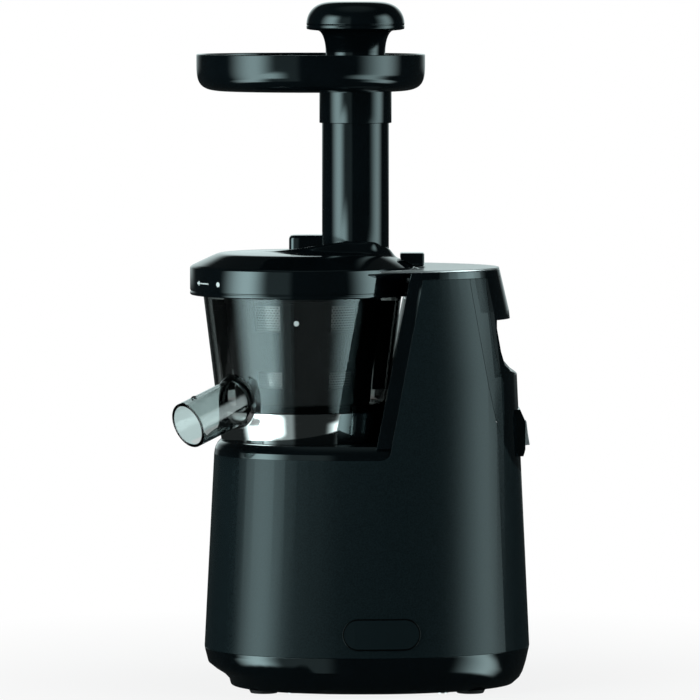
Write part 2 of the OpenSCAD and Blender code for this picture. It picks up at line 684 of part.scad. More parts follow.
module strainer_mesh() {
  color("#d9dcdd") shell_cone(mesh_r(mesh_low + 1.2), mesh_r(mesh_high), mesh_low + 1.2, mesh_high, 0.5);
}
brush_low = floor_z + 0.5;
brush_high = mesh_high - 2.5;
brush_t = 1.6;
window_a = 22;  // angle that each window of the brush frame takes up
brush_turn = 3; // angle of the brush's first window from the rear
// Heights of its two rows of windows
brush_bands = [[mesh_low + 3, mesh_low + 13], [mesh_high - 20.5, mesh_high - 5]];
module brush_frame() {
  ring_r = module_c * ring_z / 2;
  color("#1b2022") difference() {
    union() {
      difference() {
        bar(bowl_x, brush_low, brush_low + 5, ring_r + 5);
        translate([bowl_x, 0, 0]) rotate(180 / ring_z) translate([0, 0, brush_low - cut])
          linear_extrude(8) gear_outline(module_c, ring_z, 1.15, 0.75, -0.09);
      }
      on_bowl_axis() polygon([[ring_r + 4, brush_low], [brush_r(brush_low + 6), brush_low],
        [brush_r(brush_high) + brush_t, brush_high], [brush_r(brush_high), brush_high],
        [brush_r(brush_low + 5), brush_low + 5], [ring_r + 4, brush_low + 5]]);
    }
    for (band = brush_bands, a = [0 : 60 : 300]) translate([bowl_x, 0, band[0]])
      rotate(a + brush_turn - window_a / 2) rotate_extrude(angle = window_a)
        translate([30, 0]) square([30, band[1] - band[0]]);
  }
}
module brush_wipers() {
  foot_r = mesh_r(mesh_low + 8);
  head_r = mesh_r(brush_high);
  // on every other pillar, midway between two windows
  color("#8f9698") for (a = [30 : 120 : 270]) translate([bowl_x, 0, 0]) rotate(a + brush_turn)
    rotate([90, 0, 0]) translate([0, 0, -1]) linear_extrude(2) polygon([[foot_r + 2.4, mesh_low + 8],
      [foot_r + 5.3, mesh_low + 8], [head_r + 5.2, brush_high - 1], [head_r + 2.4, brush_high - 1]]);
}
module brush_idler() {
  color("#d8d4c6") translate([bowl_x + idler_d, 0, 0])
    gear_wheel(module_c, idler_z, brush_low, brush_low + 5, 180 / idler_z, idler_pin_r + run_gap);
}
// ---- Auger ----
flight_low = mesh_low + 3;
flight_turns = 1.6;
module auger() {
  color("#2b3032") difference() {
    union() {
      translate([bowl_x, 0, 0]) gear_wheel(module_c, sun_z, brush_low, brush_low + 5);
      bar(bowl_x, brush_low + 5, flight_low + 2, 14);
      translate([bowl_x, 0, flight_low]) cylinder(r1 = 24, r2 = 13, h = auger_top - flight_low - 4);
      translate([bowl_x, 0, flight_low])
        linear_extrude(auger_top - flight_low - 10, twist = -360 * flight_turns, slices = 26)
          polygon([for (a = [0 : 20 : 340])
            let (r = 6 + (auger_r - 6) * pow(max(0, cos(a / 2)), 6)) r * [cos(a), sin(a)]]);
      bar(bowl_x, auger_top - 6, auger_top + 10, 4);
    }
    bar(bowl_x, brush_low - cut, hex_top + 5, seal_in);
  }
}
module auger_sleeve() {
  color("#b9bec0") difference() {
    bar(bowl_x, deck_h + 8, hex_top + 5, seal_in);
    translate([bowl_x, 0, deck_h]) cylinder(r = hex_r + 0.25, h = hex_top - deck_h + 2, $fn = 6);
  }
}

// ---- Lid, chute, tray and pusher ----
lid_t = 2.6;
bevel_r = 0.75 * lid_r;
chute_x = bowl_x + chute_back;
chute_in = chute_r - chute_t;
grip_l = 31.5;     // length, width and height of the thumb grip
grip_w = 18;
grip_h = 9;
gasket_z = rim_z + 0.3;
gasket_in = bowl_out(rim_z) - 4.8;
module on_chute_axis() { translate([chute_x, 0, 0]) rotate_extrude() children(); }
module lid() {
  skirt_in = lid_r - lid_t;
  color("#0b0e0f") difference() {
    union() {
      on_bowl_axis() difference() {
        polygon([[skirt_in - 1, lid_z - 1.5], [skirt_in + 0.6, lid_z - 1.5], [skirt_in + 0.6, lid_z],
          [lid_r - 0.6, lid_z], [lid_r, lid_z + 0.6], [lid_r, band_top - 0.8], [lid_r - 0.8, band_top],
          [bevel_r + 3, lid_top - 0.6],
          [bevel_r, lid_top], [0, lid_top + 1], [0, lid_top - lid_t], [bevel_r - 2, lid_top - lid_t],
          [lid_r - 4, band_top - 2.2], [bowl_out(rim_z) + 1.5, gasket_z + 3],
          [gasket_in - 0.4, gasket_z + 3], [gasket_in - 0.4, gasket_z + 2.4],
          [skirt_in - 1.4, gasket_z + 2.4], [skirt_in - 1, gasket_z + 1]]);
      }
      bar(bowl_x, auger_top + 4, lid_top - 1, 8);
      // mound that carries the chute
      intersection() {
        bar(chute_x, lid_top - 1, lid_top + 5, 60);
        translate([chute_x, 0, lid_top - 1]) cylinder(r1 = chute_r + 9, r2 = chute_r + 2.2, h = 6);
        bar(bowl_x, lid_top - 2, lid_top + 6, bevel_r + 6);
      }
      // raised thumb grip
      translate([bowl_x + 7.2, 39, lid_top - 1]) linear_extrude(grip_h + 1) pill(grip_l, grip_w);
    }
    bar(bowl_x, auger_top, auger_top + 11, 4 + run_gap);
    bar(chute_x, lid_top - 10, lid_top + 20, chute_in);
    bar(chute_x, lid_top + 1.5, lid_top + 20, chute_r);
  }
}
module lid_gasket() {
  color("#a9adae") on_bowl_axis() polygon([[gasket_in, gasket_z], [bowl_out(rim_z) - 1.2, gasket_z],
    [bowl_out(rim_z) - 1.2, gasket_z + 2.2], [gasket_in, gasket_z + 2.2]]);
}
lock_w = 16;
module lid_lock_tab() {
  color("#0b0e0f") difference() {
    intersection() {
      bar(bowl_x, tower_z + 0.6, lid_top, lid_r + 5.6);
      translate([bowl_x + bevel_r + 8, -lock_w / 2, tower_z]) cube([30, lock_w, 20]);
    }
    on_bowl_axis() polygon([[0, 0], [lid_r + 0.01, 0], [lid_r + 0.01, band_top - 0.8],
      [lid_r - 0.79, band_top + 0.01], [bevel_r + 3, lid_top - 0.59], [bevel_r, lid_top + 0.01],
      [0, lid_top + 0.01]]);
  }
}
module feed_chute() {
  color("#0b0e0f") on_chute_axis() polygon([[chute_in, lid_top + 1.5], [chute_r, lid_top + 1.5],
    [chute_r, chute_z], [chute_in, chute_z]]);
}
tray_x = bowl_x + tray_back;
tray_floor = chute_z + 0.4;
sleeve_l = 19;
sleeve_t = 1.3;
module hopper_tray() {
  color("#0b0e0f") difference() {
    union() {
      translate([tray_x, 0, tray_floor]) rotate_extrude() difference() {
        tray_side(0, 0);
        tray_side(2.4, 2.2);
      }
      bar(chute_x, tray_floor - sleeve_l, tray_floor + 1, chute_r + 0.3 + sleeve_t);
    }
    bar(chute_x, tray_floor - sleeve_l - cut, tray_floor + 20, chute_in);
    bar(chute_x, tray_floor - sleeve_l - cut, tray_floor, chute_r + 0.3);
  }
}
// Side of the tray in radius and height: a nearly upright wall on a rounded foot
module tray_side(side_t, floor_up) {
  foot_round = 9;
  low_r = tray_r - 1.2 - side_t;
  round_x = low_r - foot_round;
  high = tray_h + (side_t > 0 ? cut : 0);
  polygon(concat([[0, floor_up]],
    [for (a = [-90 : 10 : 0]) [round_x + foot_round * cos(a), floor_up + foot_round * (1 + sin(a))]],
    [[tray_r - side_t, high - 2], [tray_r - side_t - (side_t > 0 ? 0 : 0.8), high], [0, high]]));
}
knob_z = chute_z + 38;
neck_r = 18;
module pusher_stem() {
  low = knob_z - pusher_l;
  stem_r = chute_in - 0.4;
  seat_z = tray_floor + 2.6;
  color("#15191a") on_chute_axis() polygon([[0, low], [stem_r - 1.2, low], [stem_r, low + 1.2],
    [stem_r, ring_low], [stem_r - 1.6, ring_low], [stem_r - 1.6, ring_low + 4], [stem_r, ring_low + 4],
    [stem_r, seat_z], [neck_r + 3, seat_z], [neck_r + 3, tray_floor + 6], [neck_r, tray_floor + 9],
    [neck_r, knob_z - 9], [0, knob_z - 9]]);
}
ring_low = knob_z - pusher_l + 8;
module pusher_ring() {
  color("#8f9698") difference() {
    bar(chute_x, ring_low, ring_low + 4, chute_in - 0.3);
    bar(chute_x, ring_low - cut, ring_low + 4 + cut, chute_in - 2);
  }
}
module pusher_knob() {
  flare_r = 23;
  color("#0b0e0f") on_chute_axis() polygon(concat([[0, knob_z - 9], [neck_r, knob_z - 9]],
    [for (a = [0 : 15 : 90]) [flare_r - (flare_r - neck_r) * cos(a), knob_z - 9 + 8 * sin(a)]],
    [[knob_r - 2.5, knob_z - 0.6], [knob_r - 0.6, knob_z], [knob_r, knob_z + 1.2]],
    [for (a = [0 : 7.5 : 90]) [knob_r * (0.30 + 0.70 * pow(cos(a), 0.62)), knob_z + 3 + (knob_h - 3) * sin(a)]],
    [[0, knob_z + knob_h]]));
}

housing_shell();
rear_cover();
rear_panel();
bowl_cradle();
top_collar();
top_plate();
base_skirt();
bottom_plate();
rubber_feet();
badge_plate();
switch_bezel();
switch_rocker();
gearbox_case();
gearbox_lid();
motor_can();
motor_end_cap();
rotor_core();
motor_shaft();
stator_ring();
cooling_fan();
reduction_gear();
layshaft_pin();
output_gear();
drive_shaft();
lower_bearing();
upper_bearing();
shaft_seal();
circuit_board();
cord_inlet();
base_screws();
gearbox_screws();
bowl();
foot_band();
juice_spout();
pulp_spout();
bowl_seal();
strainer_frame();
strainer_mesh();
brush_frame();
brush_wipers();
brush_idler();
auger();
auger_sleeve();
lid();
lid_gasket();
lid_lock_tab();
feed_chute();
hopper_tray();
pusher_stem();
pusher_knob();
pusher_ring();
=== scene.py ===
"""Slow juicer: the visible surfaces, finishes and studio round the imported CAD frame."""

from functools import partial

import bmesh
import bpy
import numpy as np
from bpy.props import FloatProperty, FloatVectorProperty, PointerProperty
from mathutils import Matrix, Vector


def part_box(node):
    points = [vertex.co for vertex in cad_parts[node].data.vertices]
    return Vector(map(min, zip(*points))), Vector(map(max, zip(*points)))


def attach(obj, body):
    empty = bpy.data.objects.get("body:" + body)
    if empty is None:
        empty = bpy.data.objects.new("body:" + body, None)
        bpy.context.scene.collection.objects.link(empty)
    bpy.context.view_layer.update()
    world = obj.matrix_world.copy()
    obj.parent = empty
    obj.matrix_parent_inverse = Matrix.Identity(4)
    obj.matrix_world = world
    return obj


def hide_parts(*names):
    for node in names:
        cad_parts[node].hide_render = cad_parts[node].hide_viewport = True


bl_info = {
    "name": "Slow juicer dressing",
    "version": (1, 0, 0),
    "blender": (4, 5, 0),
    "location": "3D View > Sidebar > Juicer",
    "description": "Builds the surfaces and finishes of a vertical slow juicer round its CAD frame",
    "category": "Object",
}

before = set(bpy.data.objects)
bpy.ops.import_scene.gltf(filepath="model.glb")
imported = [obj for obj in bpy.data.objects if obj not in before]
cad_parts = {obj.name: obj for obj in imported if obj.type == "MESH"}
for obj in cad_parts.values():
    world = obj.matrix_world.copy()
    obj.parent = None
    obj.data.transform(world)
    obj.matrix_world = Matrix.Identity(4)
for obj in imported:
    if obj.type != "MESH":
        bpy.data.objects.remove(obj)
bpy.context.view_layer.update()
MM = 0.001


def span(node):
    """Lowest and highest corner of a CAD node, in millimetres."""
    low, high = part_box(node)
    return np.array(low) / MM, np.array(high) / MM


def axis_x(node):
    """Where the upright axis of a round node stands along X, in millimetres."""
    low, high = span(node)
    return float(low[0] + high[0]) / 2


def reach(node):
    """Outer radius of a round node, in millimetres."""
    low, high = span(node)
    return float(high[1] - low[1]) / 2


def heights(node):
    """Heights of a CAD node's lowest and highest point, in millimetres."""
    low, high = span(node)
    return float(low[2]), float(high[2])


BOWL_X = axis_x("foot_band")
CHUTE_X = axis_x("feed_chute")
TRAY_X = axis_x("hopper_tray")
DECK_Z = heights("foot_band")[0]


# ---- Surfaces worked out with numpy; profiles are in millimetres, grids in metres ----
TURN_STEPS = 160
MERGE = 2e-6  # metres within which two points are one
WHOLE_FACE = np.radians(0.4)  # triangles that lean less than this from each other are one face
LONGEST_EASE = 0.48  # share of a side that a rounded corner may take
SHARP = 32.0  # degrees between two faces from which their edge stays crisp
# how a grid closes: whether its last row meets its first, and whether its last column does
RING = (True, True)
DOME = (False, True)
PATCH = (False, False)


def softened(corners, radii=0.6, steps=6):
    """Outline with its corners rounded: each corner becomes a quadratic curve
    (1-t)^2 A + 2t(1-t) P + t^2 B from A, which lies the radius before it, to B, as far after."""
    point = np.asarray(corners, float)
    radius = np.broadcast_to(np.asarray(radii, float), len(point))
    ends = []
    for shift in (1, -1):
        side = np.roll(point, shift, 0) - point
        length = np.linalg.norm(side, axis=1)
        ends.append(point + side * (np.minimum(radius, length * LONGEST_EASE) / length)[:, None])
    start, end = (each[:, None] for each in ends)
    t = np.linspace(0, 1, steps)[None, :, None]
    curve = (1 - t) ** 2 * start + 2 * t * (1 - t) * point[:, None] + t ** 2 * end
    return curve.reshape(-1, 2)


def round_angles(steps):
    """Angles of that many even steps of a full turn, without the last, which is the first."""
    return np.linspace(0, 2 * np.pi, steps, endpoint=False)


def turned(profile, centre_x, steps=TURN_STEPS):
    """Turned form: point = (centre + r cos a, r sin a, z) for each radius r and height z."""
    a = round_angles(steps)[None, :]
    r, z = np.asarray(profile, float).T[:, :, None]
    return MM * np.stack([centre_x + r * np.cos(a), r * np.sin(a), z + 0 * a], -1)


def quads(rows, cols, wrap_rows, wrap_cols, first=0):
    """Corner numbers of the quads of a grid; a wrapped side joins its last line to its first."""
    index = first + np.arange(rows * cols).reshape(rows, cols)
    if wrap_rows:
        index = np.vstack([index, index[:1]])
    if wrap_cols:
        index = np.hstack([index, index[:, :1]])
    around = [index[:-1, :-1], index[:-1, 1:], index[1:, 1:], index[1:, :-1]]
    return np.stack(around, -1).reshape(-1, 4)


def skin(name, parts, sharp=SHARP):
    """Object whose mesh joins the parts, each a grid and how it closes. Doubles are merged, so
    that poles and seams close, and normals are turned outwards."""
    points, faces, first = [], [], 0
    for grid, wrap_rows, wrap_cols in parts:
        rows, cols = grid.shape[:2]
        faces.append(quads(rows, cols, wrap_rows, wrap_cols, first))
        points.append(grid.reshape(-1, 3))
        first += rows * cols
    mesh = bpy.data.meshes.new(name)
    mesh.from_pydata(np.concatenate(points), [], np.concatenate(faces))
    return clean_object(name, mesh, sharp)


def ring_skin(name, corners, centre_x, radii, steps=4):
    """Turned piece whose closed outline has its corners softened."""
    return skin(name, [(turned(softened(corners, radii, steps), centre_x), *RING)])


def clean_object(name, mesh, sharp):
    """Links an object for the mesh once its doubles are merged, its slivers are removed and its
    normals are set."""
    work = bmesh.new()
    work.from_mesh(mesh)
    bmesh.ops.remove_doubles(work, verts=work.verts, dist=MERGE)
    bmesh.ops.dissolve_degenerate(work, edges=work.edges, dist=MERGE)
    loose = [e for e in work.edges if not e.link_faces]
    bmesh.ops.delete(work, geom=loose, context="EDGES")
    bmesh.ops.recalc_face_normals(work, faces=work.faces)
    work.to_mesh(mesh)
    work.free()
    mesh.shade_smooth()
    mesh.set_sharp_from_angle(angle=np.radians(sharp))
    obj = bpy.data.objects.new(name, mesh)
    bpy.context.scene.collection.objects.link(obj)
    return obj


def coat(obj, material):
    """Gives an object the finish of that name, and no other."""
    obj.data.materials.clear()
    obj.data.materials.append(finish(material))


def place(obj, body, slot, material, *nodes):
    """Gives a piece its finish and its body, and hides the CAD nodes that it stands for. Its slot
    is not used.
    """
    coat(obj, material)
    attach(obj, body)
    if nodes:
        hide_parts(*nodes)


def dressed(node, name, body, slot, material, edge=0.35, sharp=30.0):
    """A CAD node's own shape with its triangles merged, its flat faces made whole and its edges
    eased by that many millimetres: a copy stands for the node."""
    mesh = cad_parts[node].data.copy()
    work = bmesh.new()
    work.from_mesh(mesh)
    bmesh.ops.remove_doubles(work, verts=work.verts, dist=MERGE)
    bmesh.ops.dissolve_limit(
        work, angle_limit=WHOLE_FACE, verts=work.verts, edges=work.edges)
    work.to_mesh(mesh)
    work.free()
    obj = clean_object(name, mesh, sharp)
    if edge:
        ease = obj.modifiers.new("eased_edges", "BEVEL")
        ease.width = edge * MM
        ease.segments = 2
        ease.limit_method = "ANGLE"
        ease.angle_limit = np.radians(sharp + 5)
        ease.harden_normals = True
        ease.use_clamp_overlap = True
    place(obj, body, slot, material, node)


# ---- Finishes ----
# black mouldings throw back a slightly cool light
COOL = {"Specular Tint": (0.82, 1.0, 1.03, 1)}
METAL = {"Metallic": 1.0}
CLEAR = {"IOR": 1.5, "Transmission Weight": 1.0}

# Each finish is named for what it is. Its colour is sRGB hex or the name of one of the user's
# colours. "rough" is the range of its roughness. "grain" is the size of its texture and the depth
# of the bump, in millimetres; "stretch" draws the grain out, "detail" is how fine it goes on, and
# "swing" is the share by which it darkens and lightens the colour. "dye" is a colour and the path
# in millimetres that keeps 1/e of the light. The rest are the shader's own sockets.
FINISHES = {
    # ABS, moulded in a polished tool: deep mirror gloss with a faint flow waviness
    "gloss_black_abs": dict(
        colour="gloss", rough=(0.05, 0.09), grain=(14, 0.012), swing=0.106,
        sockets={"IOR": 1.58, **COOL}),
    # polypropylene, moulded alike, for what food passes through: a softer mirror
    "gloss_black_polypropylene": dict(
        colour="gloss", rough=(0.06, 0.1), grain=(14, 0.012), swing=0.106,
        sockets={"IOR": 1.47, **COOL}),
    # soft-touch lacquer sprayed on ABS: charcoal satin. The real grain is about 0.1 mm; 0.9 mm
    # is the finest that the render can show
    "soft_touch_lacquer": dict(
        colour="shell", rough=(0.21, 0.27), grain=(0.9, 0.006), detail=2.0, swing=0.199,
        sockets={"IOR": 1.33, **COOL}),
    # the same lacquer on the blank badge, with a line of painted shade round its edge where its
    # groove lies
    "lacquered_badge": dict(
        colour="shell", rough=(0.21, 0.27), grain=(0.9, 0.006), detail=2.0,
        sockets={"IOR": 1.33, **COOL}),
    # smoke-tinted copolyester, injection moulded and polished: clear grey with crisp reflections;
    # the longer way through a wall's rim turns it almost black
    "smoked_copolyester": dict(
        colour="#f2f5f4", rough=(0.015, 0.045), grain=(22, 0.01), dye=("smoke", 2.75),
        sockets={**CLEAR, **COOL}),
    # copolyester of the juice spout: nearly water clear, with a grey cast
    "clear_copolyester": dict(
        colour="clear", rough=(0.01, 0.03), grain=(18, 0.008), dye=("#8c9698", 9.0),
        sockets=CLEAR),
    # stainless steel strip, mirror polished along its length: drawn-out polishing lines
    "polished_stainless": dict(
        colour="#dfe2e2", rough=(0.05, 0.1), grain=(9, 0.002), stretch=(0.2, 0.2, 6),
        sockets=METAL),
    # stainless steel, ground: shafts, pins and screws with fine rings
    "ground_steel": dict(
        colour="#c3c7c8", rough=(0.2, 0.34), grain=(2, 0.006), stretch=(1, 1, 8),
        sockets=METAL),
    # stainless sheet, etched through: bright, with the holes that sieve_holes draws
    "perforated_stainless": dict(
        colour="#f2f5f5", rough=(0.3, 0.3), sockets={"Metallic": 0.35}),
    # silver metallic lacquer on ABS under a satin clear coat. The flake is about 0.03 mm; 0.7 mm
    # is the finest that the render can show
    "silver_metallic_lacquer": dict(
        colour="silver", rough=(0.28, 0.4), grain=(0.7, 0.004), detail=1.0, swing=0.067,
        sockets={"Metallic": 0.85, "Coat Weight": 0.3, "Coat Roughness": 0.12}),
    # glass-filled nylon, moulded in a textured tool: dark, dry and slightly mottled
    "moulded_black_nylon": dict(
        colour="#0c1012", rough=(0.42, 0.58), grain=(1.4, 0.02), swing=0.244,
        sockets={"IOR": 1.4}),
    # high-strength resin of the auger, moulded with a satin texture: dark grey
    "auger_resin": dict(
        colour="#22272a", rough=(0.24, 0.36), grain=(2.2, 0.015), swing=0.288,
        sockets={"IOR": 1.57}),
    # moulded rubber of feet and outer blades: matt black, with a slightly dusty bloom
    "moulded_black_rubber": dict(
        colour="#161717", rough=(0.7, 0.86), grain=(1.1, 0.03), swing=0.352,
        sockets={"IOR": 1.52}),
    # food-grade silicone of gasket and wipers: soft satin that a little light passes through
    "grey_silicone": dict(
        colour="#aab1b2", rough=(0.4, 0.52), grain=(3, 0.01), swing=0.097,
        sockets={"IOR": 1.41, "Subsurface Weight": 0.15, "Subsurface Scale": 0.002}),
    # silicone of the hub seal: red-brown satin
    "red_silicone": dict(
        colour="#903527", rough=(0.44, 0.56), grain=(3, 0.01), swing=0.155,
        sockets={"IOR": 1.41}),
    # ABS of the rocker, moulded in a fine textured tool: light grey
    "textured_grey_abs": dict(
        colour="switch", rough=(0.32, 0.45), grain=(0.8, 0.012), swing=0.067,
        sockets={"IOR": 1.54}),
    # pad-printed enamel ink: a thin white satin film
    "white_pad_print": dict(
        colour="#dfe3e3", rough=(0.34, 0.46), grain=(1.0, 0.004), swing=0.067,
        sockets={"IOR": 1.5}),
    # die-cast zinc alloy, as cast: dull grey with a mottled skin
    "die_cast_zinc": dict(
        colour="#8c9194", rough=(0.38, 0.58), grain=(2.5, 0.03), swing=0.188, sockets=METAL),
    # zinc-plated sheet steel of the motor can: grey with faint spangle
    "zinc_plated_steel": dict(
        colour="#777c7f", rough=(0.3, 0.48), grain=(5, 0.01), swing=0.197, sockets=METAL),
    # natural acetal of the gears, moulded smooth: creamy white and waxy
    "natural_acetal": dict(
        colour="#d6d2c4", rough=(0.3, 0.42), grain=(3, 0.008), swing=0.08,
        sockets={"IOR": 1.48}),
    # oil-filled sintered bronze bush: warm, finely porous
    "sintered_bronze": dict(
        colour="#a7834c", rough=(0.34, 0.55), grain=(0.9, 0.03), swing=0.284, sockets=METAL),
    # enamelled copper winding: red-brown wire laid in fine rounds
    "enamelled_copper": dict(
        colour="#974e2f", rough=(0.22, 0.4), grain=(1.2, 0.08), stretch=(0.15, 0.15, 3),
        swing=0.371, sockets=METAL),
    # stacked electrical steel of the rotor: dark grey with the edges of its laminations
    "laminated_core_steel": dict(
        colour="#6e7375", rough=(0.32, 0.5), grain=(1.0, 0.05), stretch=(0.05, 0.05, 2),
        swing=0.364, sockets=METAL),
    # glass-epoxy board under solder mask: smooth green, with a faint weave
    "glass_epoxy_board": dict(
        colour="#2d6c41", rough=(0.25, 0.38), grain=(1.5, 0.01), swing=0.239,
        sockets={"IOR": 1.55}),
    # uncoated paper: matt white, with the pale ground that white_far_out adds
    "matt_white_paper": dict(
        colour="#f1f2f2", rough=(0.85, 0.95), grain=(2.0, 0.01), sockets={"IOR": 1.4}),
}


def linear(colour):
    """The linear red, green, blue and alpha that shaders work in, for an sRGB hex colour or for
    the name of one of the user's colours."""
    if not colour.startswith("#"):
        return (*getattr(bpy.context.scene.juicer_looks, colour), 1.0)
    value = np.array([int(colour[k:k + 2], 16) for k in (1, 3, 5)]) / 255
    level = np.where(value <= 0.04045, value / 12.92, ((value + 0.055) / 1.055) ** 2.4)
    return (*level.tolist(), 1.0)


def add(tree, kind, inputs=(), **settings):
    """Adds a shader node with its settings. Its inputs are a list in order, or a dict by name or
    number; one that is given a socket is linked to it, and one given a node to its first output."""
    node = tree.nodes.new("ShaderNode" + kind)
    for key, value in settings.items():
        setattr(node, key, value)
    for key, value in inputs.items() if isinstance(inputs, dict) else enumerate(inputs):
        if isinstance(value, bpy.types.Node):
            value = value.outputs[0]
        if isinstance(value, bpy.types.NodeSocket):
            tree.links.new(value, node.inputs[key])
        else:
            node.inputs[key].default_value = value
    return node


def texture(tree, shader, rough, size, depth, stretch=(1, 1, 1), detail=3.0, swing=0.0):
    """Noise whose features are size millimetres across raises a bump of that depth, and swings
    the roughness through its range and the colour by its share each way."""
    where = add(tree, "TexCoord")
    scaled = add(tree, "Mapping", {"Vector": where.outputs["Object"], "Scale": stretch})
    noise = add(tree, "TexNoise", {
        "Vector": scaled, "Scale": 1 / (size * MM), "Detail": detail, "Roughness": 0.55})
    bump = add(tree, "Bump", {"Height": noise, "Strength": 1.0, "Distance": depth * MM})
    tree.links.new(bump.outputs["Normal"], shader.inputs["Normal"])
    sheen = add(tree, "MapRange", [noise, 0.3, 0.7, *rough])
    tree.links.new(sheen.outputs["Result"], shader.inputs["Roughness"])
    if swing:
        colour = np.array(shader.inputs["Base Color"].default_value[:3])
        tint = add(tree, "ValToRGB", [noise])
        stops = zip(tint.color_ramp.elements, (0.35, 0.65), (1 - swing, 1 + swing))
        for stop, position, factor in stops:
            stop.position = position
            stop.color = (*(colour * factor), 1)
        tree.links.new(tint.outputs["Color"], shader.inputs["Base Color"])


def finish(name):
    """The material of that name, made from its row of FINISHES when it is first asked for."""
    made = bpy.data.materials.get(name)
    if made:
        return made
    row = FINISHES[name]
    colour = linear(row["colour"])
    made = bpy.data.materials.new(name)
    made.use_nodes = True
    made.diffuse_color = colour
    tree = made.node_tree
    shader = tree.nodes["Principled BSDF"]
    plain = {"Base Color": colour, "Roughness": sum(row["rough"]) / 2}
    for key, value in {**plain, **row["sockets"]}.items():
        shader.inputs[key].default_value = value
    if "grain" in row:
        drawn = {key: row[key] for key in ("stretch", "detail", "swing") if key in row}
        texture(tree, shader, row["rough"], *row["grain"], **drawn)
    if "dye" in row:
        tint, path = row["dye"]
        dye = add(tree, "VolumeAbsorption", {"Color": linear(tint), "Density": 1 / (path * MM)})
        tree.links.new(dye.outputs["Volume"], tree.nodes["Material Output"].inputs["Volume"])
    if name in PATTERNS:
        PATTERNS[name](tree, shader)
    return made


BADGE_SHADE_INSET = 0.8  # from the badge's edge to its line of painted groove shade, in millimetres
BADGE_SHADE_FADE = 0.2
PITS = (0.22, 0.32)  # a sieve hole's edge fades out between these shares of the pitch
ROW_SHARE = 1.3  # rows of holes stand closer than the holes in a row
FLOOR_FADE = (0.1, 0.45, 0.86, 1.0)  # metres out from the middle, and how white it is there


def painted_groove_shade(tree, shader):
    """Painted shade of the fine groove round the blank badge: the colour turns dark where the
    distance to the pill's middle line passes its radius less the inset."""
    new = partial(add, tree)
    low, high = span("badge_plate")
    half = (high - low) / 2
    middle = (high + low) / 2
    radius = half[2]
    part = new("SeparateXYZ", [new("TexCoord").outputs["Object"]])
    aside = new("Math", [part.outputs["X"], middle[0] * MM], operation="SUBTRACT")
    aside = new("Math", [aside], operation="ABSOLUTE")
    past = new("Math", [aside, (half[0] - radius) * MM], operation="SUBTRACT")
    past = new("Math", [past, 0.0], operation="MAXIMUM")
    up = new("Math", [part.outputs["Z"], middle[2] * MM], operation="SUBTRACT")
    away = new("VectorMath", [new("CombineXYZ", [past, up])], operation="LENGTH")
    line = new("MapRange", [away.outputs["Value"], (radius - BADGE_SHADE_INSET - BADGE_SHADE_FADE) * MM,
                            (radius - BADGE_SHADE_INSET) * MM])
    # painted shade: the badge turns near black where its groove would lie in shade
    tone = new("Mix", {0: line, 6: linear("shell"), 7: linear("#030506")}, data_type="RGBA")
    tree.links.new(tone.outputs[2], shader.inputs["Base Color"])


def sieve_holes(tree, shader):
    """Staggered round holes as dark, sunk dots, laid out on the piece's own UV map in metres: dark
    where the distance to the nearest point of the grid is small. The real holes stand about 0.6 mm
    apart; the pitch is drawn as coarse as the render can show."""
    new = partial(add, tree)
    pitch = sizes().sieve_pitch
    cells = new("VectorMath", [new("UVMap", uv_map="sieve"), (1 / pitch, ROW_SHARE / pitch, 0)],
                operation="MULTIPLY")
    part = new("SeparateXYZ", [cells])
    row = new("Math", [part.outputs["Y"]], operation="FLOOR")
    odd = new("Math", [row, 0.5], operation="MULTIPLY")
    shifted = new("Math", [part.outputs["X"], odd], operation="ADD")
    across = new("Math", [shifted, 0.5], operation="PINGPONG")
    along = new("Math", [part.outputs["Y"], 0.5], operation="PINGPONG")
    away = new("VectorMath", [new("CombineXYZ", [across, along]), (0.5, 0.5, 0)],
               operation="DISTANCE")
    hole = new("MapRange", [away.outputs["Value"], *PITS, 1.0, 0.0])
    tone = new("Mix", {0: hole, 6: shader.inputs["Base Color"].default_value,
                       7: linear("#0a0c0d")}, data_type="RGBA")
    tree.links.new(tone.outputs[2], shader.inputs["Base Color"])
    sink = new("Bump", {"Height": hole, "Distance": 0.3 * MM, "Strength": 0.6}, invert=True)
    tree.links.new(sink.outputs["Normal"], shader.inputs["Normal"])


def white_far_out(tree, shader):
    """Keeps the object's soft shadow near the table's middle and shows plain white further out, to
    the camera, in reflections and through clear plastic."""
    new = partial(add, tree)
    ray = new("LightPath")
    away = new("VectorMath", [new("TexCoord").outputs["Object"]], operation="LENGTH")
    shade = new("MapRange", [away.outputs["Value"], *FLOOR_FADE])
    seen = new("Math", [ray.outputs["Is Camera Ray"], ray.outputs["Is Glossy Ray"]],
               operation="MAXIMUM")
    seen = new("Math", [seen, ray.outputs["Is Transmission Ray"]], operation="MAXIMUM")
    share = new("Math", [seen, shade], operation="MULTIPLY")
    white = new("Emission", {"Color": (1, 1, 1, 1), "Strength": 1.0})
    mix = new("MixShader", [share, shader, white])
    tree.links.new(mix.outputs[0], tree.nodes["Material Output"].inputs["Surface"])


PATTERNS = {
    "lacquered_badge": painted_groove_shade,
    "perforated_stainless": sieve_holes,
    "matt_white_paper": white_far_out,
}


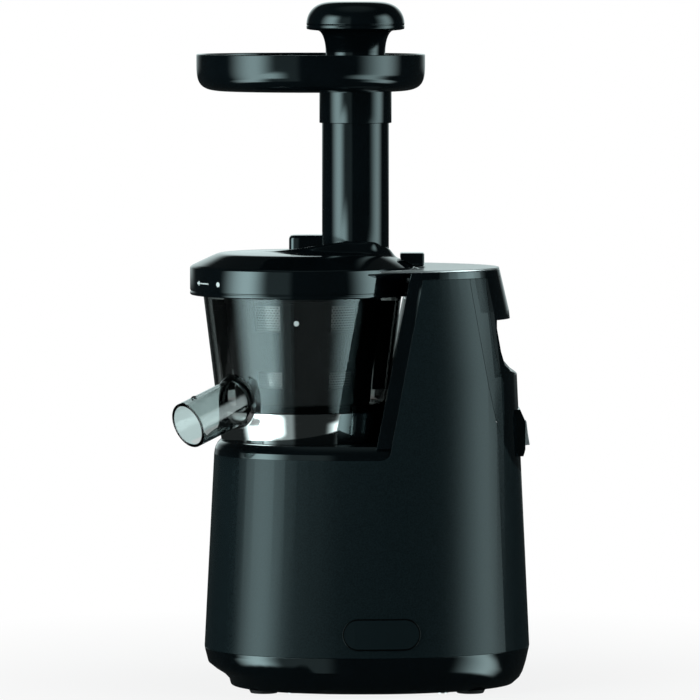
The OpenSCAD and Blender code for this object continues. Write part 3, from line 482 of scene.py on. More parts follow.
# ---- Sizes and colours that a user would change ----
class JuicerLooks(bpy.types.PropertyGroup):
    """Colours of the finishes, as linear values made from sRGB hex."""

    shell: FloatVectorProperty(
        name="Housing lacquer", description="Colour of the soft-touch lacquer on the housing",
        subtype="COLOR", min=0, max=1, default=linear("#151e21")[:3])
    gloss: FloatVectorProperty(
        name="Gloss black", description="Colour of the gloss black parts",
        subtype="COLOR", min=0, max=1, default=linear("#070c0f")[:3])
    smoke: FloatVectorProperty(
        name="Smoked bowl", description="Dye of the smoked copolyester bowl",
        subtype="COLOR", min=0, max=1, default=linear("#202828")[:3])
    clear: FloatVectorProperty(
        name="Clear spout", description="Tint of the clear copolyester juice spout",
        subtype="COLOR", min=0, max=1, default=linear("#d4dad9")[:3])
    silver: FloatVectorProperty(
        name="Silver plate", description="Colour of the silver lacquer on the tower's plate",
        subtype="COLOR", min=0, max=1, default=linear("#cdd0d1")[:3])
    switch: FloatVectorProperty(
        name="Rocker", description="Colour of the rocker switch",
        subtype="COLOR", min=0, max=1, default=linear("#b8bdbe")[:3])


class JuicerSizes(bpy.types.PropertyGroup):
    """Sizes that the surfaces add to those of the frame."""

    bowl_taper: FloatProperty(
        name="Bowl taper", description="Lean of the bowl's wall from the upright",
        subtype="ANGLE", default=np.radians(7.0), min=0, max=0.3)
    bowl_wall: FloatProperty(
        name="Bowl wall", description="Thickness of the clear bowl's wall",
        subtype="DISTANCE", unit="LENGTH", default=2.2 * MM, min=1 * MM, max=4 * MM)
    sieve_pitch: FloatProperty(
        name="Sieve pitch", description="Distance between the strainer's holes",
        subtype="DISTANCE", unit="LENGTH", default=2.0 * MM, min=0.4 * MM, max=3 * MM)
    swirl_rise: FloatProperty(
        name="Swirl rise", description="Height that the lid's ramp climbs to the chute",
        subtype="DISTANCE", unit="LENGTH", default=7 * MM, min=0, max=12 * MM)
    edge_ease: FloatProperty(
        name="Eased edge", description="Width of the softened edges of moulded parts",
        subtype="DISTANCE", unit="LENGTH", default=0.4 * MM, min=0, max=1 * MM)


def sizes():
    """The user's sizes."""
    return bpy.context.scene.juicer_sizes


def bowl_radius(z):
    """Outer radius of the bowl at height z: its radius at the foot band's top, widened by the
    taper."""
    return reach("foot_band") + (z - heights("foot_band")[1]) * np.tan(sizes().bowl_taper)


def bowl_wall():
    """Thickness of the bowl's wall, in millimetres."""
    return sizes().bowl_wall / MM


# the slots that several pieces share, each with its finish
GLOSS = ("gloss_black", "gloss_black_abs")
GLOSS_FOOD = ("gloss_black", "gloss_black_polypropylene")
NYLON = ("black_plastic", "moulded_black_nylon")
SILICONE = ("grey_silicone", "grey_silicone")
INK_WHITE = ("grey_switch", "white_pad_print")


# ---- Housing, switch and drive ----
CRADLE_EASE = 3.5  # the cradle's wider edge catches the light down its whole front
BEZEL_EASE = 0.5
ROCKER_EASE = 0.6


class JUICER_OT_housing(bpy.types.Operator):
    """Dress the lacquered housing, its gloss mouldings, the silver plate and the blank badge"""

    bl_idname = "juicer.housing"
    bl_label = "Housing"

    def execute(self, context):
        ease = sizes().edge_ease / MM
        for node, name, *look in [
            ("housing_shell", "housing_skin", "satin_housing", "soft_touch_lacquer"),
            ("rear_cover", "rear_cover_skin", "satin_housing", "soft_touch_lacquer"),
            ("rear_panel", "rear_panel_skin", *GLOSS),
            ("bowl_cradle", "cradle_skin", *GLOSS),
            ("top_collar", "collar_skin", *GLOSS),
            ("top_plate", "silver_plate", "silver_plate", "silver_metallic_lacquer"),
            ("base_skirt", "skirt_skin", *GLOSS),
            ("badge_plate", "blank_badge", "gloss_black", "lacquered_badge"),
        ]:
            edge = ease * (CRADLE_EASE if node == "bowl_cradle" else 1)
            dressed(node, name, "base", *look, edge=edge)
        for node, material in [
            ("bottom_plate", "moulded_black_nylon"), ("rubber_feet", "moulded_black_rubber"),
            ("cord_inlet", "moulded_black_rubber"), ("base_screws", "ground_steel"),
        ]:
            coat(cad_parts[node], material)
        return {"FINISHED"}


class JUICER_OT_switch(bpy.types.Operator):
    """Dress the rocker switch and its bezel at the back of the tower"""

    bl_idname = "juicer.switch"
    bl_label = "Switch"

    def execute(self, context):
        dressed("switch_bezel", "bezel_skin", "base", *GLOSS, edge=BEZEL_EASE)
        dressed("switch_rocker", "rocker_skin", "rocker", "grey_switch", "textured_grey_abs",
                edge=ROCKER_EASE)
        return {"FINISHED"}


class JUICER_OT_drive(bpy.types.Operator):
    """Give the motor, the gears and the other works inside their finishes"""

    bl_idname = "juicer.drive"
    bl_label = "Motor and gears"

    def execute(self, context):
        for material, nodes in {
            "die_cast_zinc": ("gearbox_case", "gearbox_lid", "motor_end_cap"),
            "zinc_plated_steel": ("motor_can",),
            "laminated_core_steel": ("rotor_core",),
            "enamelled_copper": ("stator_ring",),
            "moulded_black_nylon": ("cooling_fan",),
            "natural_acetal": ("reduction_gear", "output_gear", "brush_idler"),
            "ground_steel": ("motor_shaft", "layshaft_pin", "drive_shaft", "gearbox_screws",
                             "auger_sleeve"),
            "sintered_bronze": ("lower_bearing", "upper_bearing"),
            "moulded_black_rubber": ("shaft_seal",),
            "glass_epoxy_board": ("circuit_board",),
            "red_silicone": ("bowl_seal",),
        }.items():
            for node in nodes:
                coat(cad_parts[node], material)
        return {"FINISHED"}


# ---- Bowl ----
SPOUT_ROOT = 43.0  # height over the deck at which the spouts' axes meet the bowl's
SPOUT_R = 14.0
SPOUT_BORE = SPOUT_R - 1.8
SPOUT_CUT = (38.0, 66.0)  # where along the spout the bowl's wall is bored through
SPOUT_STEPS = 96
SPOUT_TILT = np.radians(19.0)
SPOUT_TURNS = {"juice_spout": np.radians(40.0), "pulp_spout": np.radians(-78.0)}
SPOUT_REACH = {"juice_spout": 89.0, "pulp_spout": 76.0}
# the collar that welds a spout to the bowl: how far it stands proud, and how far along it lies
COLLAR = [(0.05, 0), (2.2, 0), (1.9, 1.6), (1.2, 3.4), (0.05, 4.2)]
COLLAR_SINK = 0.2
NUB_R = 1.7
NUB_HIGH = 1.1
NUB_BACK = 10.0  # from the spout's mouth

BAND_WALL = 0.8
FOOT_INSET = 0.9  # the bowl's foot stands inside its steel band
FOOT_WALL = 2.1
FLOOR_UP = 21.0  # the bowl's floor over the deck
FLOOR_THICK = 3.0
RIM_BAND = 6.0
RIM_PROUD = 0.5
HUB_R = 12.0
HUB_UP = 6.0


def cut_away(obj, cutter):
    """Takes the cutter's volume out of obj for good and removes the cutter."""
    tool = obj.modifiers.new("cut", "BOOLEAN")
    tool.operation = "DIFFERENCE"
    tool.solver = "EXACT"
    tool.object = cutter
    graph = bpy.context.evaluated_depsgraph_get()
    mesh = bpy.data.meshes.new_from_object(obj.evaluated_get(graph))
    name = obj.name
    bpy.data.objects.remove(obj)
    bpy.data.objects.remove(cutter)
    return clean_object(name, mesh, SHARP)


def spout_frame(node):
    """Root point on the bowl's axis, direction and two cross directions of a spout: the direction
    is (-cos turn cos tilt, -sin turn cos tilt, -sin tilt)."""
    turn = SPOUT_TURNS[node]
    flat = np.cos(SPOUT_TILT)
    way = np.array([-np.cos(turn) * flat, -np.sin(turn) * flat, -np.sin(SPOUT_TILT)])
    side = np.cross([0, 0, 1.0], way)
    side /= np.linalg.norm(side)
    return np.array([BOWL_X, 0.0, DECK_Z + SPOUT_ROOT]), way, side, np.cross(way, side)


def spout_length(node):
    """Length of a spout from the bowl's axis to its mouth."""
    return SPOUT_REACH[node] / np.cos(SPOUT_TILT)


def tube_grid(node, rows):
    """Grid along a spout: point = root + s way + r (side cos a + up sin a), for rows of (s, r)
    where s is a number or the length at which each line of the tube meets the bowl."""
    root, way, side, up = spout_frame(node)
    a = round_angles(SPOUT_STEPS)
    ring = side * np.cos(a)[:, None] + up * np.sin(a)[:, None]
    lines = [root + way * np.broadcast_to(s, len(a))[:, None] + r * ring for s, r in rows]
    return MM * np.array(lines)


def meets_bowl(node, r, inward):
    """Length along the spout at which each of its lines, r off its axis, meets the bowl's cone
    drawn in by inward: the larger root s of |xy|^2 = (R0 + k z)^2, a quadratic in s."""
    root, way, side, up = spout_frame(node)
    a = round_angles(SPOUT_STEPS)
    start = root + r * (side * np.cos(a)[:, None] + up * np.sin(a)[:, None])
    k = np.tan(sizes().bowl_taper)
    cone_r = bowl_radius(start[:, 2]) - inward
    dx = start[:, 0] - BOWL_X
    qa = way[0] ** 2 + way[1] ** 2 - (k * way[2]) ** 2
    qb = 2 * (dx * way[0] + start[:, 1] * way[1] - cone_r * k * way[2])
    qc = dx ** 2 + start[:, 1] ** 2 - cone_r ** 2
    return (-qb + np.sqrt(qb ** 2 - 4 * qa * qc)) / (2 * qa)


def spout_nub(node):
    """Small dome on the spout's top behind its mouth: rings of radius r cos b at height h sin b
    over the tube, the first one sunk into it."""
    root, way, side, up = spout_frame(node)
    a = round_angles(32)[None, :, None]
    b = np.radians([0, 0, 30, 55, 75, 90])[:, None, None]
    out = SPOUT_R + NUB_HIGH * np.sin(b)
    out[0] = SPOUT_R - 0.5
    ring = NUB_R * np.cos(b) * (side * np.cos(a) + way * np.sin(a))
    return MM * (root + way * (spout_length(node) - NUB_BACK) + up * out + ring)


def spout(node, name, slot, material):
    """A clear tube from the bowl's wall to its square-cut, rounded mouth, with a collar at its
    root."""
    end = spout_length(node)
    lip = softened([(end - 3, SPOUT_R), (end, SPOUT_R), (end, SPOUT_BORE), (end - 3, SPOUT_BORE)],
                   [0, 0.8, 0.8, 0], 5)
    rows = [(meets_bowl(node, SPOUT_R, 0.3), SPOUT_R), *lip,
            (meets_bowl(node, SPOUT_BORE, bowl_wall()), SPOUT_BORE)]
    tube = skin(name, [(tube_grid(node, rows), *RING)])
    place(tube, "bowl_unit", slot, material, node)
    rows = [(meets_bowl(node, SPOUT_R + proud, COLLAR_SINK) + along, SPOUT_R + proud)
            for proud, along in COLLAR]
    collar = skin(name + "_collar", [(tube_grid(node, rows), *RING)])
    place(collar, "bowl_unit", slot, "smoked_copolyester")


class JUICER_OT_bowl(bpy.types.Operator):
    """Build the smoked bowl, its polished foot band and its two spouts"""

    bl_idname = "juicer.bowl"
    bl_label = "Bowl"

    def execute(self, context):
        band_z = heights("foot_band")[1]
        top = heights("bowl")[1]
        floor_z = DECK_Z + FLOOR_UP
        foot_r, band_r = bowl_radius(DECK_Z), bowl_radius(band_z)
        floor_r = bowl_radius(floor_z) - bowl_wall()
        rim_z = top - RIM_BAND
        rim_r = bowl_radius(rim_z)
        outline = softened([
            (foot_r - FOOT_INSET, DECK_Z), (band_r - FOOT_INSET, band_z), (band_r, band_z + 0.1),
            (rim_r, rim_z), (rim_r + RIM_PROUD, top), (rim_r - bowl_wall(), top),
            (rim_r - bowl_wall(), rim_z), (floor_r, floor_z), (HUB_R, floor_z),
            (HUB_R, DECK_Z + HUB_UP), (HUB_R + FLOOR_THICK, DECK_Z + HUB_UP),
            (HUB_R + FLOOR_THICK, floor_z - FLOOR_THICK),
            (floor_r - FLOOR_THICK, floor_z - FLOOR_THICK),
            (foot_r - FOOT_INSET - FOOT_WALL, DECK_Z)],
            [0.4, 0.2, 0.5, 1, 0.8, 0.8, 1, 4, 0.6, 0.6, 0.6, 1, 3, 0.4])
        bowl = skin("smoked_bowl", [(turned(outline, BOWL_X), *RING)])
        for node in SPOUT_TURNS:
            bore = tube_grid(node, [(along, SPOUT_BORE) for along in SPOUT_CUT])
            ends = bore.mean(1, keepdims=True) + 0 * bore
            capped = np.concatenate([ends[:1], bore, ends[1:]])
            bowl = cut_away(bowl, skin("bore", [(capped, *DOME)]))
        place(bowl, "bowl_unit", "smoky_clear", "smoked_copolyester", "bowl")
        band = [(foot_r - BAND_WALL, DECK_Z), (foot_r, DECK_Z),
                (band_r, band_z), (band_r - BAND_WALL, band_z)]
        band = ring_skin("polished_foot_band", band, BOWL_X, 0.3)
        place(band, "bowl_unit", "polished_steel", "polished_stainless", "foot_band")
        spout("juice_spout", "juice_spout_tube", "spout_clear", "clear_copolyester")
        nub = skin("spout_nub", [(spout_nub("juice_spout"), *DOME)])
        place(nub, "bowl_unit", "spout_clear", "smoked_copolyester")
        spout("pulp_spout", "pulp_spout_tube", "smoky_clear", "smoked_copolyester")
        return {"FINISHED"}


# ---- Strainer, brush and auger ----
SIEVE_SLOPE = 0.09
SIEVE_WALL = 0.5
SIEVE_STEPS = 192
FRAME_EASE = 0.3
WIPER_EASE = 0.2
OUTER_WIPERS = (83, 173, 263, 353)  # degrees round the bowl
# a blade's section: its half thickness at each share of the way from its root to its tip
BLADE_SHARE = np.array([0, 0.97, 1.0, 1.0, 0.97, 0])
BLADE_HALF = np.array([-0.9, -0.38, -0.2, 0.2, 0.38, 0.9])
BLADE_ENDS = (9.0, 1.0)  # from the brush frame's foot and from its top
BLADE_ROOT = 0.4
BLADE_GAP = 1.2


def leaning_radius(node, z):
    """Radius at height z of a cone that has the node's reach at its top and narrows evenly down
    to its foot."""
    return reach(node) + (z - heights(node)[1]) * SIEVE_SLOPE


def sieve_sheet():
    """The strainer's cone of etched sheet, with a UV map of arc length and height in metres."""
    low, high = heights("strainer_mesh")
    foot_r, rim_r = (leaning_radius("strainer_mesh", z) for z in (low, high))
    outline = [(foot_r, low), (rim_r, high), (rim_r - SIEVE_WALL, high),
               (foot_r - SIEVE_WALL, low)]
    grid = turned(outline, BOWL_X, SIEVE_STEPS)
    sheet = skin("perforated_strainer", [(grid, *RING)])
    mesh = sheet.data
    corner = np.zeros(len(mesh.loops), np.int32)
    mesh.loops.foreach_get("vertex_index", corner)
    co = np.zeros(len(mesh.vertices) * 3)
    mesh.vertices.foreach_get("co", co)
    co = co.reshape(-1, 3)[corner]
    # a quad that crosses the half turn keeps its corners on one side
    angle = np.arctan2(co[:, 1], co[:, 0] - BOWL_X * MM).reshape(-1, 4)
    crosses = (angle < 0) & (angle.max(1, keepdims=True) > 3)
    angle = np.where(crosses, angle + 2 * np.pi, angle)
    arc = angle.reshape(-1) * float(foot_r + rim_r) / 2 * MM
    layer = mesh.uv_layers.new(name="sieve")
    layer.data.foreach_set("uv", np.stack([arc, co[:, 2]], -1).ravel())
    return sheet


def outer_wiper(turn):
    """A rubber blade that stands from the brush frame towards the bowl's wall: its section is a
    wedge that thins from root to tip, drawn up between the frame's cone and the bowl's."""
    low, high = heights("brush_frame")
    z = np.linspace(low + BLADE_ENDS[0], high - BLADE_ENDS[1], 24)[:, None]
    root = leaning_radius("brush_frame", z) - BLADE_ROOT
    tip = bowl_radius(z) - bowl_wall() - BLADE_GAP
    half = BLADE_HALF[None, :] + 0 * z
    r = root + (tip - root) * BLADE_SHARE[None, :]
    x = BOWL_X + r * np.cos(turn) - half * np.sin(turn)
    y = r * np.sin(turn) + half * np.cos(turn)
    body = np.stack([x, y, z + 0 * r], -1)
    ends = body.mean(1, keepdims=True) + 0 * body
    return MM * np.concatenate([ends[:1], body, ends[-1:]])


class JUICER_OT_strainer(bpy.types.Operator):
    """Build the perforated strainer and the outer blades, and dress the frames and wipers"""

    bl_idname = "juicer.strainer"
    bl_label = "Strainer and brush"

    def execute(self, context):
        place(sieve_sheet(), "bowl_unit", "strainer_steel", "perforated_stainless",
              "strainer_mesh")
        dressed("strainer_frame", "strainer_frame_skin", "bowl_unit", *NYLON, edge=FRAME_EASE)
        dressed("brush_frame", "brush_frame_skin", "brush", *NYLON, edge=FRAME_EASE)
        dressed("brush_wipers", "wiper_blades", "brush", *SILICONE, edge=WIPER_EASE)
        blades = [(outer_wiper(np.radians(turn)), *DOME) for turn in OUTER_WIPERS]
        place(skin("bowl_wipers", blades), "brush", "black_rubber", "moulded_black_rubber")
        return {"FINISHED"}


class JUICER_OT_auger(bpy.types.Operator):
    """Dress the auger"""

    bl_idname = "juicer.auger"
    bl_label = "Auger"

    def execute(self, context):
        dressed("auger", "auger_skin", "screw", "auger_plastic", "auger_resin",
                edge=0, sharp=40)
        return {"FINISHED"}


# ---- Lid and its marks ----
LID_LOW = 1.5  # the band's edge over the lid's lowest point
LID_BAND = 17.0
LID_BEVEL = 8.0
LID_WALL = 2.6
LID_CROWN = 1.0
LID_SOFT = 0.5  # how softly the crowned top turns into the bevel
BEVEL_SHARE = 0.75  # the bevel starts at this share of the lid's radius
# the ramp's turns, in degrees round the chute from its front towards the near side
RAMP_CLIMB = (-6, 80)
RAMP_FALL = (150, 205)
RAMP_CLOSES = 88
RAMP_NEAR, RAMP_FAR = 5.0, 34.0  # its edge off the chute, and how much more of it in front
RAMP_STEP = (-4.5, 0.5)
RAMP_STAYS = (-5, 3)  # the ramp ends between these distances off the bevel
RAMP_PASSES = (100, 120, 0.6)  # but in this turn it keeps this share over the bevel
CHUTE_WALL = 2.0
# the band's section from its edge up: distance from the lid's reach, and height
BAND_FOOT = [(0.5, 0), (0.1, 0.4), (0, 1.2), (0.1, 1.9), (0.4, 2.3), (0.4, 2.6), (0, 3.0)]
BAND_TOP = [(0, 0.9), (0.25, 0.3)]  # and from its top down

GRIP_AT = (7.2, 39)  # off the bowl's axis
GRIP_HALF = (15.75, 9)
GRIP_POWER = 5
GRIP_EASE = 2.2
GASKET_WIDE = 3.6
TAB_EASE = 0.8
INK = 0.06
LID_MARKS_UP = 9.4
LID_DOT = (-47.5, 3.0)  # degrees from the near side, and size
LID_ARROW = (-55.5, -68)
BOWL_DOT = (-3.2, 223.3, 3.2)  # degrees, height and size
ARROW_SHAFT, ARROW_BARB, ARROW_HEAD = 0.35, 1.7, 0.28


def ease_in(low, high, value):
    """Smooth step: 0 below low, 1 above high, 3t^2 - 2t^3 between them."""
    t = np.clip((value - low) / (high - low), 0, 1)
    return t * t * (3 - 2 * t)


def lid_height(x, y):
    """Height of the lid's outside above the table at x, y in millimetres: the soft minimum of a
    slightly crowned top and the bevel's cone, plus a ramp that winds round the chute. The ramp's
    outer edge closes in on the chute as it climbs from the front to the near side, and it drops
    away behind."""
    radius = reach("lid")
    bevel_r = BEVEL_SHARE * radius
    band_top = heights("lid")[0] + LID_LOW + LID_BAND
    top = band_top + LID_BEVEL
    out = np.hypot(x - BOWL_X, y)
    crown = LID_CROWN * (1 - (out / bevel_r) ** 2)
    cone = ((radius - out) / (radius - bevel_r) - 1) * LID_BEVEL
    base = top - LID_SOFT * np.log(np.exp(-crown / LID_SOFT) + np.exp(-cone / LID_SOFT))
    turn = np.degrees(np.arctan2(-y, CHUTE_X - x)) % 360
    edge = (reach("feed_chute") + RAMP_NEAR
            + RAMP_FAR * np.clip(1 - turn / RAMP_CLOSES, 0, 1) ** 1.6)
    climb = ease_in(*RAMP_CLIMB, turn) * (1 - ease_in(*RAMP_FALL, turn))
    ramp = climb * (1 - ease_in(*RAMP_STEP, np.hypot(x - CHUTE_X, y) - edge))
    stays_on = 1 - ease_in(*RAMP_STAYS, out - bevel_r)
    over_bevel = ease_in(*RAMP_PASSES[:2], turn) * RAMP_PASSES[2]
    return base + sizes().swirl_rise / MM * ramp * np.maximum(stays_on, over_bevel)


def sliding_rings(part, drop):
    """Rings at these shares of the way from the lid's band to the chute's bore: radius and centre
    both slide, and the height is the lid's top less the drop."""
    radius = reach("lid")
    bore = reach("feed_chute") - CHUTE_WALL
    centre = (BOWL_X + (CHUTE_X - BOWL_X) * part)[:, None]
    ring = turned(np.stack([radius + (bore - radius) * part, 0 * part], -1), centre)
    ring[..., 2] = (lid_height(ring[..., 0] / MM, ring[..., 1] / MM) - drop) * MM
    return ring


def lid_skin():
    """The lid: its band turned about the bowl, then rings that slide from the bowl's axis to the
    chute's bore, over the top and back under it, and the band's inside."""
    radius = reach("lid")
    low = heights("lid")[0] + LID_LOW
    top = low + LID_BAND
    inner = radius - LID_WALL
    band_out = [(radius - inset, low + up) for inset, up in BAND_FOOT]
    band_out += [(radius - inset, top - down) for inset, down in BAND_TOP]
    band_in = [(inner - 0.4, top - 2.6), (inner, top - 3.4), (inner, low + 0.3),
               (inner + 0.3, low)]
    over = sliding_rings(np.linspace(0.012, 1, 100) ** 0.9, 0)
    under = sliding_rings(np.linspace(1, 0.04, 30), LID_WALL)
    rows = [turned(band_out, BOWL_X), over, under, turned(band_in, BOWL_X)]
    return skin("lid_skin", [(np.concatenate(rows), *RING)], sharp=38)


def slab(centre, half, height, power, ease):
    """Rounded block standing up from its foot: superellipse plan |x/a|^p + |y/b|^p = 1, drawn in
    by the eased edge near its top and closed by a pole."""
    a = round_angles(96)[None, :]
    inset = np.array([0, 0, 0.15 * ease, 0.5 * ease, ease, half[1]])[:, None]
    level = np.array([0, height - ease, height - 0.5 * ease, height - 0.13 * ease,
                      height, height])[:, None]
    axes = [np.maximum(size - inset, 0) for size in half]
    axes[0][-1] = axes[1][-1] = 0
    x, y = [wide * np.sign(way) * np.abs(way) ** (2 / power)
            for wide, way in zip(axes, (np.cos(a), np.sin(a)))]
    top = np.stack([x, y, level + 0 * a], -1)
    foot = top[:1] * np.array([0, 0, 1.0])
    return MM * (np.concatenate([foot, top]) + np.asarray(centre, float))


def on_wall(angle, z, radius):
    """Ink on a round wall: angle from the near side towards the rear, height z, and the wall's
    radius there, which the ink stands proud of."""
    r = radius + INK
    return MM * np.stack([BOWL_X + r * np.sin(angle), -r * np.cos(angle), z + 0 * angle], -1)


def lid_wall(z):
    """Radius of the lid's upright band at any height."""
    return reach("lid") + 0 * z


def print_dot(angle, z, size, radius_at):
    """A printed dot: rings of a disc laid on the wall, arc = r sin b / R and height = r cos b."""
    r = np.linspace(0, size / 2, 5)[:, None]
    b = round_angles(32)[None, :]
    height = z + r * np.cos(b)
    return on_wall(angle + r * np.sin(b) / radius_at(z), height, radius_at(height))


def print_arrow(start, end, z, radius_at):
    """A printed arrow along the wall: its half width is a thin shaft that opens to a barb at the
    head."""
    t = np.linspace(0, 1, 33)[:, None]
    half = np.where(t < 1 - ARROW_HEAD, ARROW_SHAFT, ARROW_BARB * (1 - t) / ARROW_HEAD + 0.02)
    side = np.array([-1, 0, 1.0])[None, :]
    height = z + half * side
    return on_wall(start + (end - start) * t + 0 * side, height, radius_at(height))


class JUICER_OT_lid(bpy.types.Operator):
    """Build the lid with its winding ramp, grip, lock tab, gasket and printed marks"""

    bl_idname = "juicer.lid"
    bl_label = "Lid"

    def execute(self, context):
        low, high = heights("lid")
        place(lid_skin(), "lid_unit", *GLOSS, "lid")
        foot = low + LID_LOW + LID_BAND + LID_BEVEL - 1
        grip = slab((BOWL_X + GRIP_AT[0], GRIP_AT[1], foot), GRIP_HALF, high - foot,
                    GRIP_POWER, GRIP_EASE)
        place(skin("thumb_grip", [(grip, *DOME)]), "lid_unit", *GLOSS)
        dressed("lid_lock_tab", "lock_tab_skin", "lid_unit", *GLOSS, edge=TAB_EASE)
        outer = reach("lid_gasket")
        foot, top = heights("lid_gasket")
        section = [(outer - GASKET_WIDE, foot), (outer, foot), (outer, top),
                   (outer - GASKET_WIDE, top)]
        gasket = ring_skin("gasket_ring", section, BOWL_X, 0.6)
        place(gasket, "lid_ring", *SILICONE, "lid_gasket")
        mark_z = low + LID_MARKS_UP
        marks = skin("lid_marks", [
            (print_dot(np.radians(LID_DOT[0]), mark_z, LID_DOT[1], lid_wall), *DOME),
            (print_arrow(*np.radians(LID_ARROW), mark_z, lid_wall), *PATCH)])
        place(marks, "lid_unit", *INK_WHITE)
        dot = print_dot(np.radians(BOWL_DOT[0]), *BOWL_DOT[1:], bowl_radius)
        place(skin("bowl_mark", [(dot, *DOME)]), "bowl_unit", *INK_WHITE)
        return {"FINISHED"}


# ---- Chute, tray and pusher ----
TRAY_ROUND = 30.0
TRAY_POWER = 5.0
TRAY_WALL = 2.4
TRAY_FLOOR = 2.2
TRAY_LIFT = 0.4  # the tray's floor over the chute's top
LIP = 1.4
SLEEVE_GAP, SLEEVE_OUT = 0.3, 1.6
SLEEVE_UP = 0.5

STEM_GAP = 2.4  # from the chute's outside to the stem
STEM_EASE = 1.2
RING_GROOVE = 1.6
SHOULDER_UP = 3.0  # the stem's shoulder over the chute's top
SHOULDER_THICK = 3.2
NECK_R = 18.0
NECK_RISE = 7.0
NECK_END = 4.8
FLARE_R = 23.0
FLARE_DOWN, FLARE_HIGH = 5.0, 13.0
KNOB_RIM = 9.0
# the fine groove round the knob's rim: its inset, and its height over the rim's foot
KNOB_GROOVE = [(0, 2.0), (0.25, 2.2), (0.25, 2.5), (0.02, 2.7)]
DOME_UP = 2.9
DOME_FLAT = 0.30  # share of the knob's radius that its flat top takes
DOME_POWER = 0.62


class JUICER_OT_chute_and_tray(bpy.types.Operator):
    """Build the feed chute and the round hopper tray with its sleeve"""

    bl_idname = "juicer.chute_and_tray"
    bl_label = "Chute and tray"

    def execute(self, context):
        low, high = heights("feed_chute")
        outer = reach("feed_chute")
        bore = outer - CHUTE_WALL
        wall = [(bore, low), (outer, low), (outer, high), (bore, high)]
        chute = ring_skin("chute_tube", wall, CHUTE_X, [0.2, 0.2, 0.6, 0.6])
        place(chute, "lid_unit", *GLOSS_FOOD, "feed_chute")

        foot, top = heights("hopper_tray")
        rim = reach("hopper_tray")
        floor = high + TRAY_LIFT
        # side: superellipse (r / round)^p + (drop / depth)^p = 1, upright at the rim and flat
        # at the floor
        a = np.radians(np.linspace(90, 3, 30))
        out = rim + TRAY_ROUND * (np.cos(a) ** (2 / TRAY_POWER) - 1)
        drop = np.sin(a) ** (2 / TRAY_POWER)
        outside = np.stack([out, top - (top - floor) * drop], -1)
        inside = np.stack([out - TRAY_WALL, top - (top - floor - TRAY_FLOOR) * drop], -1)
        lip = softened([(rim, top - LIP), (rim, top), (rim - TRAY_WALL, top),
                        (rim - TRAY_WALL, top - LIP)], [0, 0.9, 0.9, 0], 6)
        hole = [(bore, floor), (bore, floor + 0.4), (bore, floor + TRAY_FLOOR - 0.4),
                (bore + 0.4, floor + TRAY_FLOOR)]
        rows = np.concatenate([hole, inside, lip[::-1], outside[::-1]])
        centre = np.full(len(rows), TRAY_X)
        centre[:len(hole)] = CHUTE_X
        dish = turned(rows, centre[:, None])
        sleeve = softened([
            (outer + SLEEVE_GAP, foot), (outer + SLEEVE_OUT, foot),
            (outer + SLEEVE_OUT, floor + SLEEVE_UP), (outer + SLEEVE_GAP, floor + SLEEVE_UP)],
            [0.2, 0.5, 0, 0], 4)
        parts = [(dish, *RING), (turned(sleeve, CHUTE_X), *RING)]
        place(skin("hopper_dish", parts, sharp=40), "tray", *GLOSS_FOOD, "hopper_tray")
        return {"FINISHED"}


class JUICER_OT_pusher(bpy.types.Operator):
    """Build the pusher's stem, its grip ring and its domed knob"""

    bl_idname = "juicer.pusher"
    bl_label = "Pusher"

    def execute(self, context):
        low, high = heights("pusher_stem")
        foot, top = heights("pusher_ring")
        wide = reach("feed_chute") - STEM_GAP
        slim = wide - RING_GROOVE
        seat = heights("feed_chute")[1] + SHOULDER_UP
        neck_top = high - NECK_END
        stem = softened([
            (0, low), (wide - STEM_EASE, low), (wide, low + STEM_EASE), (wide, foot),
            (slim, foot), (slim, top), (wide, top), (wide, seat), (NECK_R + 3, seat),
            (NECK_R + 3, seat + SHOULDER_THICK), (NECK_R, seat + NECK_RISE),
            (NECK_R, neck_top), (0, neck_top)],
            [0, 0.6, 0.6, 0.2, 0.1, 0.1, 0.2, 0.5, 0.8, 2.5, 4, 0.2, 0], 5)
        stem = skin("pusher_stem_skin", [(turned(stem, CHUTE_X), *DOME)])
        place(stem, "pusher", "black_plastic", "gloss_black_polypropylene", "pusher_stem")
        ring = [(slim + 0.05, foot), (wide + 0.1, foot), (wide + 0.1, top), (slim + 0.05, top)]
        ring = ring_skin("pusher_ring_skin", ring, CHUTE_X, 0.4)
        place(ring, "pusher", *SILICONE, "pusher_ring")

        base, top = heights("pusher_knob")
        knob_r = reach("pusher_knob")
        rim_z = base + KNOB_RIM
        # the neck opens in a concave flare: r = neck + (flare - neck)(1 - sqrt(1 - t^2))
        t = np.sin(np.radians(np.linspace(0, 90, 22)))
        under = np.stack([NECK_R + (FLARE_R - NECK_R) * (1 - np.sqrt(1 - t * t)),
                          base - FLARE_DOWN + FLARE_HIGH * t], -1)
        rim = softened([(FLARE_R, rim_z - 1), (knob_r - 2.4, rim_z - 0.6), (knob_r, rim_z),
                        (knob_r, rim_z + 1.6)], [0, 0.5, 0.8, 0], 5)
        groove = [(knob_r - inset, rim_z + up) for inset, up in KNOB_GROOVE]
        # the dome: r = R (flat + (1 - flat) cos^p a) and z = high sin a
        a = np.radians(np.linspace(2, 90, 40))
        dome_z = rim_z + DOME_UP
        dome = np.stack([knob_r * (DOME_FLAT + (1 - DOME_FLAT) * np.cos(a) ** DOME_POWER),
                         dome_z + (top - dome_z) * np.sin(a)], -1)
        dome[-1, 0] = DOME_FLAT * knob_r
        cap = [(DOME_FLAT / 2 * knob_r, top), (0, top)]
        outline = np.concatenate([[(0, base - FLARE_DOWN)], under, rim, groove, dome, cap])
        knob = skin("pusher_knob_skin", [(turned(outline, CHUTE_X), *DOME)], sharp=50)
        place(knob, "pusher", *GLOSS_FOOD, "pusher_knob")
        return {"FINISHED"}


